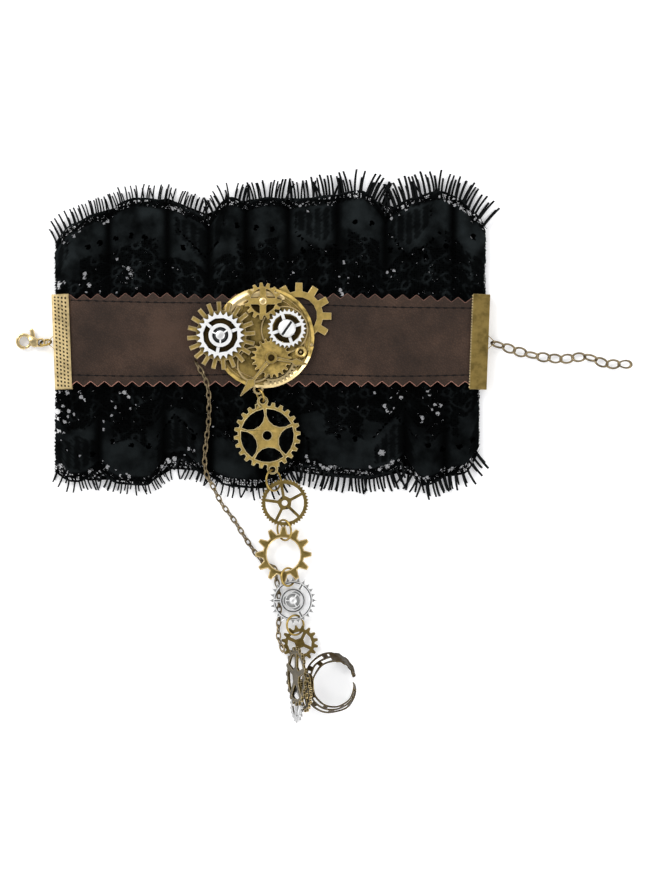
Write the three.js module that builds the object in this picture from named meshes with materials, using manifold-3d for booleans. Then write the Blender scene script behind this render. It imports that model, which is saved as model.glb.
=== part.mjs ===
// Lace armband laid open and flat: a leather band on gathered lace, a gear medallion, and a drop of
// five gears that ends in an adjustable finger ring. Millimetres, +Z up, +Y towards the upper lace.
import * as THREE from 'three';
import { mergeVertices } from 'three/addons/utils/BufferGeometryUtils.js';
import Module from 'manifold-3d';

const wasm = await Module();
wasm.setup();

// Driving sizes
const GAP = 0.3; // clear space between neighbouring pieces
const BAND = { length: 175, below: 18.5, thick: 1.5, under: 3.2, tooth: 5.75, depth: 2.3 };
const CLAMP = { x: 86.55, y: 0.2, deep: 7, width: 39.4, sheet: 0.9, lean: 2.2 };
const LACE = { thick: 1, seam: 15.5, front: 1 + GAP, lash: 6.5, lashRoot: 0.5 };
const WIRE = 0.4; // radius of the jump rings' wire
const GEAR_SHEET = 0.8; // thickness of the drop gears
const PLATE = { x: -2.9, y: 1.8, radius: 20.9, rim: 1.6, floor: 1.1 };
const DIAL = { x: 0.3, y: -6.6 }; // where the hands turn
const LEVELS = { // undersides of what is stacked on the leather
  leatherTop: BAND.under + BAND.thick,
  brokenGear: BAND.under + BAND.thick + GAP,
  plate: BAND.under + BAND.thick + 1.6,
  firstGears: BAND.under + BAND.thick + 3.5,
  topGears: BAND.under + BAND.thick + 4.8,
  screw: BAND.under + BAND.thick + 6.1,
};
const UP = new THREE.Vector3(0, 0, 1);

// Finishes
const leather = new THREE.MeshStandardMaterial({ color: 0x43332b, roughness: 0.62, metalness: 0 });
const lace = new THREE.MeshStandardMaterial({ color: 0x121314, roughness: 0.9, metalness: 0 });
const brass = new THREE.MeshStandardMaterial({ color: 0x9a7b3c, roughness: 0.38, metalness: 1 });
const silver = new THREE.MeshStandardMaterial({ color: 0xc8cacc, roughness: 0.28, metalness: 1 });

const group = new THREE.Group();
const radians = THREE.MathUtils.degToRad;

function piece(name, geometry, material, place = {}) {
  const mesh = new THREE.Mesh(geometry, material);
  mesh.name = name;
  mesh.position.set(...(place.at ?? [0, 0, 0]));
  mesh.rotation.set(...(place.turn ?? [0, 0, 0]).map(radians));
  (place.into ?? group).add(mesh);
  return mesh;
}

// Joining and cutting
function solidOf(geometry) {
  const bare = geometry.clone();
  for (const name of Object.keys(bare.attributes)) {
    if (name !== 'position') bare.deleteAttribute(name);
  }
  const merged = mergeVertices(bare, 1e-4);
  return new wasm.Manifold(new wasm.Mesh({
    numProp: 3,
    vertProperties: new Float32Array(merged.attributes.position.array),
    triVerts: new Uint32Array(merged.index.array),
  }));
}

function geometryOf(solid) {
  const mesh = solid.getMesh();
  const geometry = new THREE.BufferGeometry();
  geometry.setAttribute('position', new THREE.BufferAttribute(new Float32Array(mesh.vertProperties), 3));
  geometry.setIndex(new THREE.BufferAttribute(new Uint32Array(mesh.triVerts), 1));
  geometry.computeVertexNormals();
  return geometry;
}

function fuse(...geometries) {
  return geometries.map(solidOf).reduce((whole, next) => whole.add(next));
}

// Flat outlines
const polar = (radius, degrees) => new THREE.Vector2(
  radius * Math.cos(radians(degrees)), radius * Math.sin(radians(degrees)));

function arc(radius, from, to, steps, centre = [0, 0]) {
  return Array.from({ length: steps + 1 }, (_, i) => polar(radius, from + (to - from) * i / steps)
    .add(new THREE.Vector2(...centre)));
}

const circle = (radius, sides, centre) => arc(radius, 0, 360 * (1 - 1 / sides), sides - 1, centre);

// A gear's outline: root and crown are the widths of a tooth at its foot and tip, in tooth pitches.
function gearOutline({ teeth, tip, foot, root = 0.6, crown = 0.3, turn = 0 }) {
  const pitch = 360 / teeth;
  return Array.from({ length: teeth }, (_, i) => {
    const middle = turn + i * pitch;
    const tips = crown > 0 ? [-crown / 2, crown / 2] : [0];
    const feet = root < 1 ? [-root / 2, root / 2] : [-0.5];
    const points = tips.map((share) => polar(tip, middle + share * pitch));
    points.unshift(polar(foot, middle + feet[0] * pitch));
    if (feet.length > 1) points.push(polar(foot, middle + feet[1] * pitch));
    return points;
  }).flat();
}

// Windows between straight spokes: inner and outer are the windows' own radii.
function spokeWindows({ spokes, inner, outer, width, turn = 0, steps = 3 }) {
  const step = 360 / spokes;
  const side = (radius) => Math.asin(width / 2 / radius) * 180 / Math.PI;
  return Array.from({ length: spokes }, (_, i) => {
    const start = turn + i * step;
    return [
      ...arc(outer, start + side(outer), start + step - side(outer), steps),
      ...arc(inner, start + step - side(inner), start + side(inner), 1),
    ];
  });
}

// Lens windows between spokes that widen towards the hub: inner is how near they come to the centre.
function lensWindows({ spokes, inner, outer, width, turn = 0 }) {
  const step = 360 / spokes;
  const half = step / 2 - Math.asin(width / 2 / outer) * 180 / Math.PI;
  const corner = polar(outer, half);
  const bow = (corner.y ** 2 + (corner.x - inner) ** 2) / 2 / (corner.x - inner);
  const sweep = Math.asin(corner.y / bow) * 180 / Math.PI;
  return Array.from({ length: spokes }, (_, i) => {
    const middle = turn + (i + 0.5) * step;
    const centre = polar(inner + bow, middle).toArray();
    return [
      ...arc(outer, middle - half, middle + half, 4),
      ...arc(bow, middle + 180 - sweep, middle + 180 + sweep, 6, centre).slice(1, -1),
    ];
  });
}

function sheet(outline, thick, holes = []) {
  const shape = new THREE.Shape(outline);
  shape.holes = holes.map((points) => new THREE.Path(points));
  return new THREE.ExtrudeGeometry(shape, { depth: thick, bevelEnabled: false, steps: 1 });
}

// A sheet centred on its own middle plane, for gears that lie tilted.
function wheel(outline, thick, holes) {
  return sheet(outline, thick, holes).translate(0, 0, -thick / 2);
}

function loop(x, y, outer, hole, thick) {
  return sheet(circle(outer, 10, [x, y]), thick, [circle(hole, 8, [x, y])]);
}

// Wire: a link is a torus parted at its middle, and a ring is a link with no straight.
function wireLink(length, width, wire, around, sides) {
  const torus = new THREE.TorusGeometry(width / 2 - wire, wire, sides, around);
  const straight = (length - width) / 2;
  const at = torus.attributes.position;
  for (let i = 0; i < at.count; i += 1) {
    const x = at.getX(i);
    at.setX(i, x + Math.sign(Math.round(x * 1e3)) * straight);
  }
  return torus;
}

// Lays a flat wire form along a direction, leaning out of the level plane about that direction.
function lay(geometry, centre, along, lean) {
  const level = new THREE.Vector3().crossVectors(UP, along).normalize();
  const lift = new THREE.Vector3().crossVectors(along, level).normalize();
  const across = level.multiplyScalar(Math.cos(radians(lean)))
    .add(lift.multiplyScalar(Math.sin(radians(lean))));
  const normal = new THREE.Vector3().crossVectors(along, across);
  const frame = new THREE.Matrix4().makeBasis(along, across, normal).setPosition(centre);
  return geometry.applyMatrix4(frame);
}

// A jump ring through two points, where its wire crosses the holes that it joins.
function jumpRing(name, from, to, lean) {
  const start = new THREE.Vector3(...from);
  const end = new THREE.Vector3(...to);
  const along = end.clone().sub(start);
  const reach = along.length() / 2;
  const torus = wireLink(2 * (reach + WIRE), 2 * (reach + WIRE), WIRE, 10, 5);
  piece(name, lay(torus, start.add(end).multiplyScalar(0.5), along.normalize(), lean), brass);
}

// Leather band with pinked edges. Its upper edge isn't cut quite straight: each row is a place along the
// band and how far the edge reaches there.
const BAND_TOP = [[-88, 19.8], [-50, 20.9], [-28, 20.1], [30, 20.5], [60, 19.9], [88, 18.3]];

function topReach(x) {
  const i = BAND_TOP.findIndex((row) => row[0] > x);
  const [[x0, y0], [x1, y1]] = [BAND_TOP[i - 1], BAND_TOP[i]];
  return y0 + (y1 - y0) * (x - x0) / (x1 - x0);
}

function leatherBand() {
  const teeth = Math.floor(BAND.length / BAND.tooth);
  const start = -teeth * BAND.tooth / 2;
  const top = [];
  const bottom = [];
  for (let i = 0; i <= 2 * teeth; i += 1) {
    const x = start + i * BAND.tooth / 2;
    const inset = i % 2 ? 0 : BAND.depth;
    top.push(new THREE.Vector2(x, topReach(x) - inset));
    bottom.unshift(new THREE.Vector2(x, inset - BAND.below));
  }
  piece('leather_band', sheet([...top, ...bottom], BAND.thick), leather, { at: [0, 0, BAND.under] });
}

// Folded brass clamps: a U of sheet with a lip that bites the leather from below, and a three-cornered
// eye. Both lean outwards at the top. A clamp's own frame is at its middle, with +X away from the leather.
const EYE = { reach: 1.35, tip: 3.1, half: 3.3, wire: 0.55, thick: 0.6, middle: 3 };
const clampTurn = (side) => (side > 0 ? -CLAMP.lean : 180 + CLAMP.lean);

function eyePlace(side) {
  const out = polar(CLAMP.deep / 2 + EYE.reach, clampTurn(side));
  return [side * CLAMP.x + out.x, CLAMP.y + out.y];
}

function clamp(name, side) {
  const { deep, width, sheet: wall } = CLAMP;
  const [inner, outer] = [-deep / 2, deep / 2];
  const over = LEVELS.leatherTop + GAP;
  const profile = [
    [inner, over], [outer - wall, over], [outer - wall, wall], [inner + wall, wall],
    [inner + wall, BAND.under - GAP], [inner, BAND.under - GAP], [inner, 0], [outer, 0],
    [outer, over + wall], [inner, over + wall],
  ].map(([x, z]) => new THREE.Vector2(x, z));
  const channel = sheet(profile, width).rotateX(Math.PI / 2).translate(0, width / 2, 0);
  const corners = (foot, tip, half) => [[foot, half], [foot, -half], [tip, -0.3], [tip, 0.3]]
    .map(([x, y]) => new THREE.Vector2(x, y));
  const eye = sheet(corners(outer - wall / 2, outer + EYE.tip, EYE.half), EYE.thick,
    [corners(outer, outer + EYE.tip - EYE.wire, EYE.half - EYE.wire - 0.2)])
    .translate(0, 0, EYE.middle - EYE.thick / 2);
  piece(name, geometryOf(fuse(channel, eye)), brass, {
    at: [side * CLAMP.x, CLAMP.y, 0], turn: [0, 0, clampTurn(side)],
  });
}

// Gathered lace: each row is a fold, with where it stands along the band, how far its scalloped edge
// reaches from the band's middle, and how high it lifts.
const UPPER_FOLDS = [
  { at: -89.6, reach: 41, lift: 1.2 },
  { at: -80, reach: 49.8, lift: 3.2 },
  { at: -67.5, reach: 54.4, lift: 0.2 },
  { at: -55, reach: 60, lift: 4 },
  { at: -43, reach: 58.6, lift: 0.3 },
  { at: -35, reach: 55.2, lift: 3.4 },
  { at: -26, reach: 50, lift: 0.2 },
  { at: -16.5, reach: 60.2, lift: 4.2 },
  { at: -10.5, reach: 57.4, lift: 0.6 },
  { at: -1, reach: 60.2, lift: 3.6 },
  { at: 7.1, reach: 58.8, lift: 0.2 },
  { at: 17, reach: 60, lift: 3.6 },
  { at: 27.5, reach: 61.4, lift: 0.3 },
  { at: 36.5, reach: 63, lift: 4.4 },
  { at: 47.5, reach: 53, lift: 0.2 },
  { at: 61, reach: 60.2, lift: 4.2 },
  { at: 70, reach: 62.8, lift: 3 },
  { at: 75.5, reach: 61, lift: 0.3 },
  { at: 83, reach: 54.4, lift: 3.2 },
  { at: 89, reach: 47.6, lift: 1 },
];
const LOWER_FOLDS = [
  { at: -89.6, reach: 53.6, lift: 1.2 },
  { at: -81, reach: 58, lift: 3.4 },
  { at: -71.5, reach: 52.6, lift: 0.2 },
  { at: -62, reach: 58.8, lift: 3.4 },
  { at: -52, reach: 59.4, lift: 4 },
  { at: -44.5, reach: 49.6, lift: 0.2 },
  { at: -36, reach: 48.4, lift: 2.6 },
  { at: -25.3, reach: 55.4, lift: 0 },
  { at: -15, reach: 60, lift: 1.9 },
  { at: -4, reach: 60.6, lift: 0.2 },
  { at: 10, reach: 51.2, lift: 0 },
  { at: 19, reach: 52, lift: 2.8 },
  { at: 28, reach: 55.6, lift: 4.2 },
  { at: 38, reach: 56.2, lift: 1.6 },
  { at: 47, reach: 54.6, lift: 4 },
  { at: 55.6, reach: 48.8, lift: 0.2 },
  { at: 63.5, reach: 59.4, lift: 3.8 },
  { at: 72, reach: 55.6, lift: 0.6 },
  { at: 79, reach: 54.8, lift: 3.2 },
  { at: 86.4, reach: 44.6, lift: 1 },
];
// The openings of the lace, by the cell that each is cut in: net windows by the band, and eyelets.
const UPPER_OPEN = [[1, 3, 8, 14, 20, 25, 29, 35], [2, 6, 10, 14, 17, 24, 28, 31, 36]];
const LOWER_OPEN = [[1, 3, 6, 13, 22, 27, 31, 34], [2, 7, 11, 14, 23, 26, 31, 33]];
// Rows across a ruffle: how far out from the seam, and how much of the fold's lift is there.
const RUFFLE_ROWS = [
  { out: 0, lift: 0 },
  { out: 0.12, lift: 0.1 },
  { out: 0.32, lift: 0.6 },
  { out: 0.74, lift: 1 },
  { out: 1, lift: 0.7 },
];

function betweenFolds(folds) {
  return folds.flatMap((fold, i) => {
    const next = folds[i + 1];
    if (!next) return [fold];
    const middle = {
      at: (fold.at + next.at) / 2,
      reach: (fold.reach + next.reach) / 2 + Math.abs(next.reach - fold.reach) * 0.12,
      lift: (fold.lift + next.lift) / 2,
    };
    return [fold, middle];
  });
}

// A closed sheet from a set of cells: each corner has a top and a bottom point.
function cellSheet(cells, thick) {
  const points = [];
  const keys = new Map();
  const index = [];
  const point = (corner) => {
    const key = corner.map((value) => value.toFixed(4)).join();
    if (!keys.has(key)) {
      keys.set(key, points.length / 6);
      const [x, y, z] = corner;
      points.push(x, y, z, x, y, z + thick);
    }
    return keys.get(key);
  };
  const edges = new Map();
  for (const cell of cells) {
    const ids = cell.map(point);
    for (let i = 1; i < ids.length - 1; i += 1) {
      index.push(2 * ids[0] + 1, 2 * ids[i] + 1, 2 * ids[i + 1] + 1);
      index.push(2 * ids[0], 2 * ids[i + 1], 2 * ids[i]);
    }
    ids.forEach((id, i) => edges.set(`${id} ${ids[(i + 1) % ids.length]}`, [id, ids[(i + 1) % ids.length]]));
  }
  for (const [a, b] of edges.values()) {
    if (edges.has(`${b} ${a}`)) continue;
    index.push(2 * a, 2 * b, 2 * b + 1, 2 * a, 2 * b + 1, 2 * a + 1);
  }
  const geometry = new THREE.BufferGeometry();
  geometry.setAttribute('position', new THREE.Float32BufferAttribute(points, 3));
  geometry.setIndex(index);
  geometry.computeVertexNormals();
  return geometry;
}

const mix = (a, b, share) => a.map((value, i) => value + (b[i] - value) * share);

// A cell with a diamond cut through its middle.
function pierced(corners) {
  const centre = mix(mix(corners[0], corners[2], 0.5), mix(corners[1], corners[3], 0.5), 0.5);
  const hole = corners.map((corner, i) => mix(centre, mix(corner, corners[(i + 1) % 4], 0.5), 0.5));
  return corners.flatMap((corner, i) => {
    const next = (i + 1) % 4;
    return [[corner, hole[i], hole[(i + 3) % 4]], [corner, corners[next], hole[i]]];
  });
}

// A lash cell: a tapered strip that stands on the middle of a scallop's edge.
function lashCells(inner, outer, length, lean) {
  const [left, right] = outer;
  const foot = [mix(left, right, 0.5 - LACE.lashRoot / 2), mix(left, right, 0.5 + LACE.lashRoot / 2)];
  const middle = mix(left, right, 0.5);
  const tip = [middle[0] + lean, middle[1] + length, Math.max(middle[2] - 0.8, LACE.front)];
  return [[inner[0], inner[1], right, foot[1], foot[0], left], [foot[0], foot[1], tip]];
}

// Cuts a layer of lace away where the clamps stand.
function clearOfClamps(layer) {
  const room = new THREE.BoxGeometry(CLAMP.deep + 4 * GAP, CLAMP.width + 4 * GAP, 20).translate(GAP, 0, 0);
  return [-1, 1].reduce((rest, side) => rest.subtract(solidOf(
    room.clone().rotateZ(radians(clampTurn(side))).translate(side * CLAMP.x, CLAMP.y, 0))), layer);
}

function ruffle(name, folds, open, side) {
  const columns = betweenFolds(folds);
  const corner = (column, row) => [
    column.at, LACE.seam + row.out * (column.reach - LACE.seam), LACE.front + row.lift * column.lift,
  ];
  const cells = [];
  for (let c = 0; c < columns.length - 1; c += 1) {
    for (let r = 0; r < RUFFLE_ROWS.length - 1; r += 1) {
      const [a, b] = [columns[c], columns[c + 1]];
      const corners = [
        corner(a, RUFFLE_ROWS[r]), corner(b, RUFFLE_ROWS[r]),
        corner(b, RUFFLE_ROWS[r + 1]), corner(a, RUFFLE_ROWS[r + 1]),
      ];
      if (open[r - 1]?.includes(c)) cells.push(...pierced(corners));
      else if (r < RUFFLE_ROWS.length - 2) cells.push(corners);
      else {
        const inner = [corners[0], corners[1]];
        const slope = (b.reach - a.reach) / (b.at - a.at);
        cells.push(...lashCells(inner, [corners[3], corners[2]], LACE.lash + (c % 3) * 0.5, -slope * 1.2));
      }
    }
  }
  const whole = solidOf(cellSheet(cells, LACE.thick));
  piece(name, geometryOf(clearOfClamps(side > 0 ? whole : whole.mirror([0, 1, 0]))), lace);
}

// The layer beneath each ruffle lies flat, and its own scallops fill the notches of the front ones.
const UPPER_BACK = [
  { at: -89.4, reach: 40 }, { at: -76, reach: 53 }, { at: -60, reach: 57.5 }, { at: -43, reach: 60 },
  { at: -27, reach: 53.6 }, { at: -9, reach: 59.6 }, { at: 8, reach: 60.2 }, { at: 22, reach: 59.4 },
  { at: 32, reach: 60.6 }, { at: 45, reach: 58.6 }, { at: 54, reach: 55.4 }, { at: 66, reach: 60.6 },
  { at: 80, reach: 59 }, { at: 88.6, reach: 46 },
];
const LOWER_BACK = [
  { at: -89.2, reach: 52 }, { at: -76, reach: 57.4 }, { at: -68, reach: 57 }, { at: -50, reach: 58 },
  { at: -41, reach: 52.5 }, { at: -28, reach: 53.5 }, { at: -8, reach: 57 }, { at: 9, reach: 53.5 },
  { at: 22, reach: 55.5 }, { at: 41, reach: 57 }, { at: 54, reach: 54 }, { at: 67, reach: 58 },
  { at: 79, reach: 53 }, { at: 86.2, reach: 43.6 },
];
const BACK_LASHES = 22;

function backLayer(name, rows, side) {
  const first = rows[0].at;
  const last = rows[rows.length - 1].at;
  const edge = new THREE.CatmullRomCurve3(rows.map((row) => new THREE.Vector3(row.at, row.reach, 0)));
  const step = 1 / BACK_LASHES;
  const lashes = Array.from({ length: BACK_LASHES }, (_, i) => {
    const [a, b, tip] = [0.25, 0.75, 0.5].map((share) => edge.getPointAt((i + share) * step));
    const out = new THREE.Vector3(b.y - a.y, a.x - b.x, 0).normalize().multiplyScalar(-LACE.lash);
    return [a, new THREE.Vector3(tip.x + out.x, tip.y + out.y, 0), b];
  }).flat();
  const outline = [
    [first, LACE.seam], [first, rows[0].reach], ...lashes.map((point) => [point.x, point.y]),
    [last, rows[rows.length - 1].reach], [last, LACE.seam],
  ].map(([x, y]) => new THREE.Vector2(x, side * y));
  const holes = [-78, -62, -34, 20, 37, 52, 70].map((x) => [[0, -4], [1.8, 0], [0, 4], [-1.8, 0]]
    .map(([dx, dy]) => new THREE.Vector2(x + dx, side * (27 + dy))));
  piece(name, geometryOf(clearOfClamps(solidOf(sheet(outline, LACE.thick, holes)))), lace);
}

// Medallion: a dished plate on a short post, with a toothed arc and a loop at its foot
function medallion() {
  const { x, y, radius, rim, floor } = PLATE;
  const post = LEVELS.plate - LEVELS.brokenGear;
  const profile = [
    [0, -post], [4, -post], [4, 0], [radius - 1.4, 0], [radius, 0.5], [radius, 1],
    [radius - 1.2, rim], [radius - 2.6, floor], [0, floor],
  ].map(([r, z]) => new THREE.Vector2(r, z));
  const dish = new THREE.LatheGeometry(profile, 32).rotateX(Math.PI / 2);
  const hook = loop(-2.3, -21.4, 2.2, 1.3, 1).translate(0, 0, 0.2);
  const clear = solidOf(sheet(circle(radius - 1, 24), 2 * rim)).translate([0, 0, -0.5]);
  const rack = sheet([...arc(8.8, -104, -14, 7), ...rackTeeth(9.6, 11, -14, -104, 9)], 0.8)
    .translate(DIAL.x - x, DIAL.y - y, floor - 0.2);
  const whole = solidOf(dish).add(solidOf(hook).subtract(clear)).add(solidOf(rack));
  piece('medallion_plate', geometryOf(whole), brass, { at: [x, y, LEVELS.plate] });
}

// Square teeth along an arc, from one angle back to another.
function rackTeeth(foot, tip, from, to, count) {
  const pitch = (to - from) / count;
  return Array.from({ length: count }, (_, i) => {
    const start = from + i * pitch;
    return [[foot, 0.02], [tip, 0.02], [tip, 0.55], [foot, 0.55]]
      .map(([r, share]) => polar(r, start + share * pitch));
  }).flat();
}

// Gears of the medallion
function medallionGears() {
  piece('spur_gear', sheet(
    gearOutline({ teeth: 20, tip: 14.1, foot: 10.4, root: 0.56, crown: 0.42, turn: 4.3 }), 1,
    [circle(1.5, 8)]), brass, { at: [-20.4, 2.6, LEVELS.firstGears] });
  const hub = sheet(circle(2.6, 10), 1.8);
  const face = sheet(
    gearOutline({ teeth: 24, tip: 10, foot: 8.4, root: 0.7, crown: 0 }), 1,
    spokeWindows({ spokes: 3, inner: 4.6, outer: 7.2, width: 1.3, turn: 20, steps: 4 }));
  piece('silver_gear_left', geometryOf(fuse(face, hub)), silver, { at: [-20.7, 2.7, LEVELS.topGears] });
  piece('cross_gear', sheet(
    gearOutline({ teeth: 15, tip: 7.7, foot: 6, root: 0.7, crown: 0.34 }), 1,
    spokeWindows({ spokes: 4, inner: 2.3, outer: 5.3, width: 2.6, steps: 4 })),
    brass, { at: [-3.2, 16.8, LEVELS.firstGears] });
  piece('silver_screw_gear', sheet(
    gearOutline({ teeth: 26, tip: 8.1, foot: 7, root: 0.7, crown: 0 }), 1,
    spokeWindows({ spokes: 4, inner: 3.6, outer: 6.1, width: 1.3, turn: 18, steps: 3 })),
    silver, { at: [6.7, 5.5, LEVELS.topGears] });
  piece('dial_gear', sheet(
    gearOutline({ teeth: 20, tip: 8.3, foot: 6.9, root: 0.6, crown: 0.26 }), 1),
    brass, { at: [DIAL.x, DIAL.y, LEVELS.firstGears] });
}

// A broken ring gear: an arc of ring with square teeth, partly beneath the plate
function brokenRingGear() {
  const teeth = { foot: 10.2, tip: 13.7, pitch: 30, count: 6, first: 119 };
  const outer = Array.from({ length: teeth.count }, (_, i) => {
    const middle = teeth.first - i * teeth.pitch;
    return [[teeth.foot, 8.5], [teeth.tip, 6], [teeth.tip, -6], [teeth.foot, -8.5]]
      .map(([r, off]) => polar(r, middle + off));
  }).flat();
  const inner = arc(7.7, -52, 140, 9);
  piece('broken_ring_gear', sheet([polar(10.2, 140), ...outer, polar(10.2, -52), ...inner], 1), brass,
    { at: [11.4, 11, LEVELS.brokenGear] });
}

// A domed screw head with a slot
function slottedScrew() {
  const profile = [[0, 0], [3.2, 0], [3.7, 0.4], [3.2, 1], [1.8, 1.35], [0, 1.45]]
    .map(([r, z]) => new THREE.Vector2(r, z));
  const head = new THREE.LatheGeometry(profile, 14).rotateX(Math.PI / 2);
  const slot = new THREE.BoxGeometry(9, 1, 1.6).rotateZ(radians(55)).translate(0, 0, 1.5);
  piece('slotted_screw', geometryOf(solidOf(head).subtract(solidOf(slot))), silver,
    { at: [6.7, 5.5, LEVELS.screw] });
}

// Clock hands on one hub: a long spade hand and a short pointed one
function clockHands() {
  const hub = sheet(circle(2.5, 10), 1.5);
  const hand = (rows, degrees) => {
    const right = rows.map(({ out, half }) => new THREE.Vector2(out, -half));
    const left = rows.map(({ out, half }) => new THREE.Vector2(out, half)).reverse();
    return sheet([...right, ...left], 0.8).rotateZ(radians(degrees));
  };
  const spade = [
    { out: 1.5, half: 0.9 }, { out: 11.5, half: 0.55 }, { out: 13.2, half: 2.1 },
    { out: 15.2, half: 1.3 }, { out: 20.2, half: 0.2 },
  ];
  const short = [
    { out: 1.5, half: 0.8 }, { out: 8.5, half: 0.5 }, { out: 10.3, half: 1.5 }, { out: 15, half: 0.2 },
  ];
  const whole = fuse(hub, hand(spade, 231), hand(short, -10));
  piece('clock_hands', geometryOf(whole), brass, { at: [DIAL.x, DIAL.y, LEVELS.topGears] });
}

// A hollow rivet
function eyelet() {
  const profile = [[1.3, 0], [2.3, 0], [2.6, 0.5], [1.9, 1], [1.3, 0.7], [1.3, 0]]
    .map(([r, z]) => new THREE.Vector2(r, z));
  piece('eyelet', new THREE.LatheGeometry(profile, 10).rotateX(Math.PI / 2), brass,
    { at: [12.4, -4.2, LEVELS.firstGears] });
}

// Drop gears: where each one lies, and how far it tips up towards the band
const DROP = [
  { x: -1.5, y: -38.6, z: 6, tip: 0 },
  { x: 5.7, y: -66.5, z: 5.7, tip: 2.5 },
  { x: 5.2, y: -87.9, z: 4, tip: 0 },
  { x: 9.1, y: -107.1, z: 2.9, tip: 0 },
  { x: 11.9, y: -124.9, z: 1.75, tip: 9 },
];

function dropGears() {
  const star = gearOutline({ teeth: 24, tip: 13.8, foot: 12.2, root: 0.66, crown: 0.34, turn: 4 });
  const starWindows = lensWindows({ spokes: 5, inner: 5, outer: 11, width: 1.4, turn: 23 });
  const body = fuse(
    wheel(star, 1, [...starWindows, circle(1.9, 16)]),
    ...[[-1.9, 14.1], [2.2, -13.8]].map(([x, y]) => loop(x, y, 2.4, 0.2, 1).translate(0, 0, -0.5)));
  const holes = [[-1.9, 14.4], [2.2, -14.1]].map(([x, y]) =>
    solidOf(wheel(circle(1.3, 10, [x, y]), 3)));
  const shapes = [
    geometryOf(holes.reduce((whole, hole) => whole.subtract(hole), body)),
    wheel(gearOutline({ teeth: 44, tip: 10, foot: 9.2, root: 1, crown: 0 }), GEAR_SHEET, [
      ...spokeWindows({ spokes: 5, inner: 3, outer: 8, width: 1.2, turn: 28, steps: 4 }), circle(1.2, 14)]),
    wheel(gearOutline({ teeth: 12, tip: 11.7, foot: 8.7, root: 0.74, crown: 0.26 }), GEAR_SHEET, [
      circle(6.95, 22)]),
    wheel(gearOutline({ teeth: 24, tip: 10.2, foot: 8.3, root: 0.75, crown: 0 }), GEAR_SHEET, [
      ...spokeWindows({ spokes: 3, inner: 5.2, outer: 7.5, width: 1.4, turn: 60, steps: 6 }), circle(1.4, 12)]),
    wheel(gearOutline({ teeth: 16, tip: 7.7, foot: 6.2, root: 0.7, crown: 0.26, turn: -10 }), GEAR_SHEET,
      spokeWindows({ spokes: 4, inner: 2.2, outer: 5, width: 1.3, turn: -25, steps: 3 })),
  ];
  shapes.forEach((shape, i) => piece(`drop_gear_${i + 1}`, shape, i === 3 ? silver : brass,
    { at: [DROP[i].x, DROP[i].y, DROP[i].z], turn: [DROP[i].tip, 0, 0] }));
}

function dropRings() {
  jumpRing('drop_ring_1', [-5.2, -19.6, 7], [-3.5, -24.5, 6], 62);
  jumpRing('drop_ring_2', [0.7, -52.8, 6], [1.5, -61.4, 5.95], -48);
  jumpRing('drop_ring_3', [5.6, -73.6, 5.4], [5.4, -82, 4], 47);
  jumpRing('drop_ring_4', [6.3, -93.7, 4], [7.9, -100.9, 2.9], -42);
  jumpRing('drop_ring_5', [9.3, -113.3, 2.9], [10.8, -121.3, 2.35], -33);
}

// Lobster clasp: a hook with a slotted body, a pin, and the lever on the pin
const CLASP = {
  hook: [-102.6, 0.5], outer: 3.3, inner: 2.2, pivot: [-98.7, 0], base: [-95.7, 0], low: 0.3, thick: 2.6,
};

function clasp() {
  const { hook, outer, inner, pivot, base, low, thick } = CLASP;
  const [px, py] = pivot;
  const hookArc = sheet([...arc(outer, 5, 278, 9, hook), ...arc(inner, 278, 5, 9, hook)], thick);
  const taper = sheet([
    [-100.9, 3.4], [-98.4, 2.2], [-96.9, 1.5], [-96.9, -1.5], [-98.6, -1.9], [-99.4, -1.5], [-100.2, 0],
  ].map(([x, y]) => new THREE.Vector2(x, y)), thick);
  const tail = loop(...base, 1.9, 1.3, 1).translate(0, 0, thick / 2 - 0.5);
  const eye = solidOf(wheel(circle(1.3, 8, base), 3 * thick));
  const hollow = solidOf(wheel(circle(inner, 12, hook), 3 * thick));
  const slot = solidOf(new THREE.BoxGeometry(4.8, 11, 1.5).translate(px - 0.7, 1.2, thick / 2));
  const pin = solidOf(wheel(circle(0.5, 8, pivot), thick - 0.2).translate(0, 0, thick / 2));
  const body = fuse(hookArc, taper, tail).subtract(eye).subtract(hollow).subtract(slot).add(pin);
  piece('clasp_body', geometryOf(body), brass, { at: [0, 0, low] });

  const gate = sheet([...arc(3.15, -72, -8, 5, hook), ...arc(2.3, -8, -72, 5, hook)], 0.9);
  const boss = sheet(circle(1.4, 10, pivot), 0.9);
  const thumb = sheet([
    [px - 1, py + 0.7], [px + 0.9, py + 0.8], [-98.6, 4.8], [-99.2, 5.8], [-100.2, 5.3], [-99.9, 4],
  ].map(([x, y]) => new THREE.Vector2(x, y)), 0.9);
  const bore = solidOf(wheel(circle(0.8, 10, pivot), 4));
  const lever = fuse(gate, boss, thumb).subtract(bore);
  piece('clasp_lever', geometryOf(lever), brass, { at: [0, 0, low + thick / 2 - 0.45] });
  jumpRing('clasp_ring', [...eyePlace(-1), EYE.middle], [base[0], 0, low + thick / 2], 58);
}

// Extension chain: links at even steps along its route, each leaning the other way, and a drop end
const CHAIN = { length: 6.1, width: 4.6, wire: 0.375, lean: 40, overlap: 0.24 };
const CHAIN_ROUTE = [
  { x: 94.1, y: -0.9, z: 2.6 }, { x: 103.3, y: -3.9, z: 1.9 }, { x: 111.2, y: -5.8, z: 1.85 },
  { x: 121.2, y: -6.8, z: 1.85 }, { x: 131, y: -6, z: 1.85 }, { x: 138.9, y: -8.7, z: 1.85 },
  { x: 147, y: -9, z: 1.85 },
];

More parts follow.
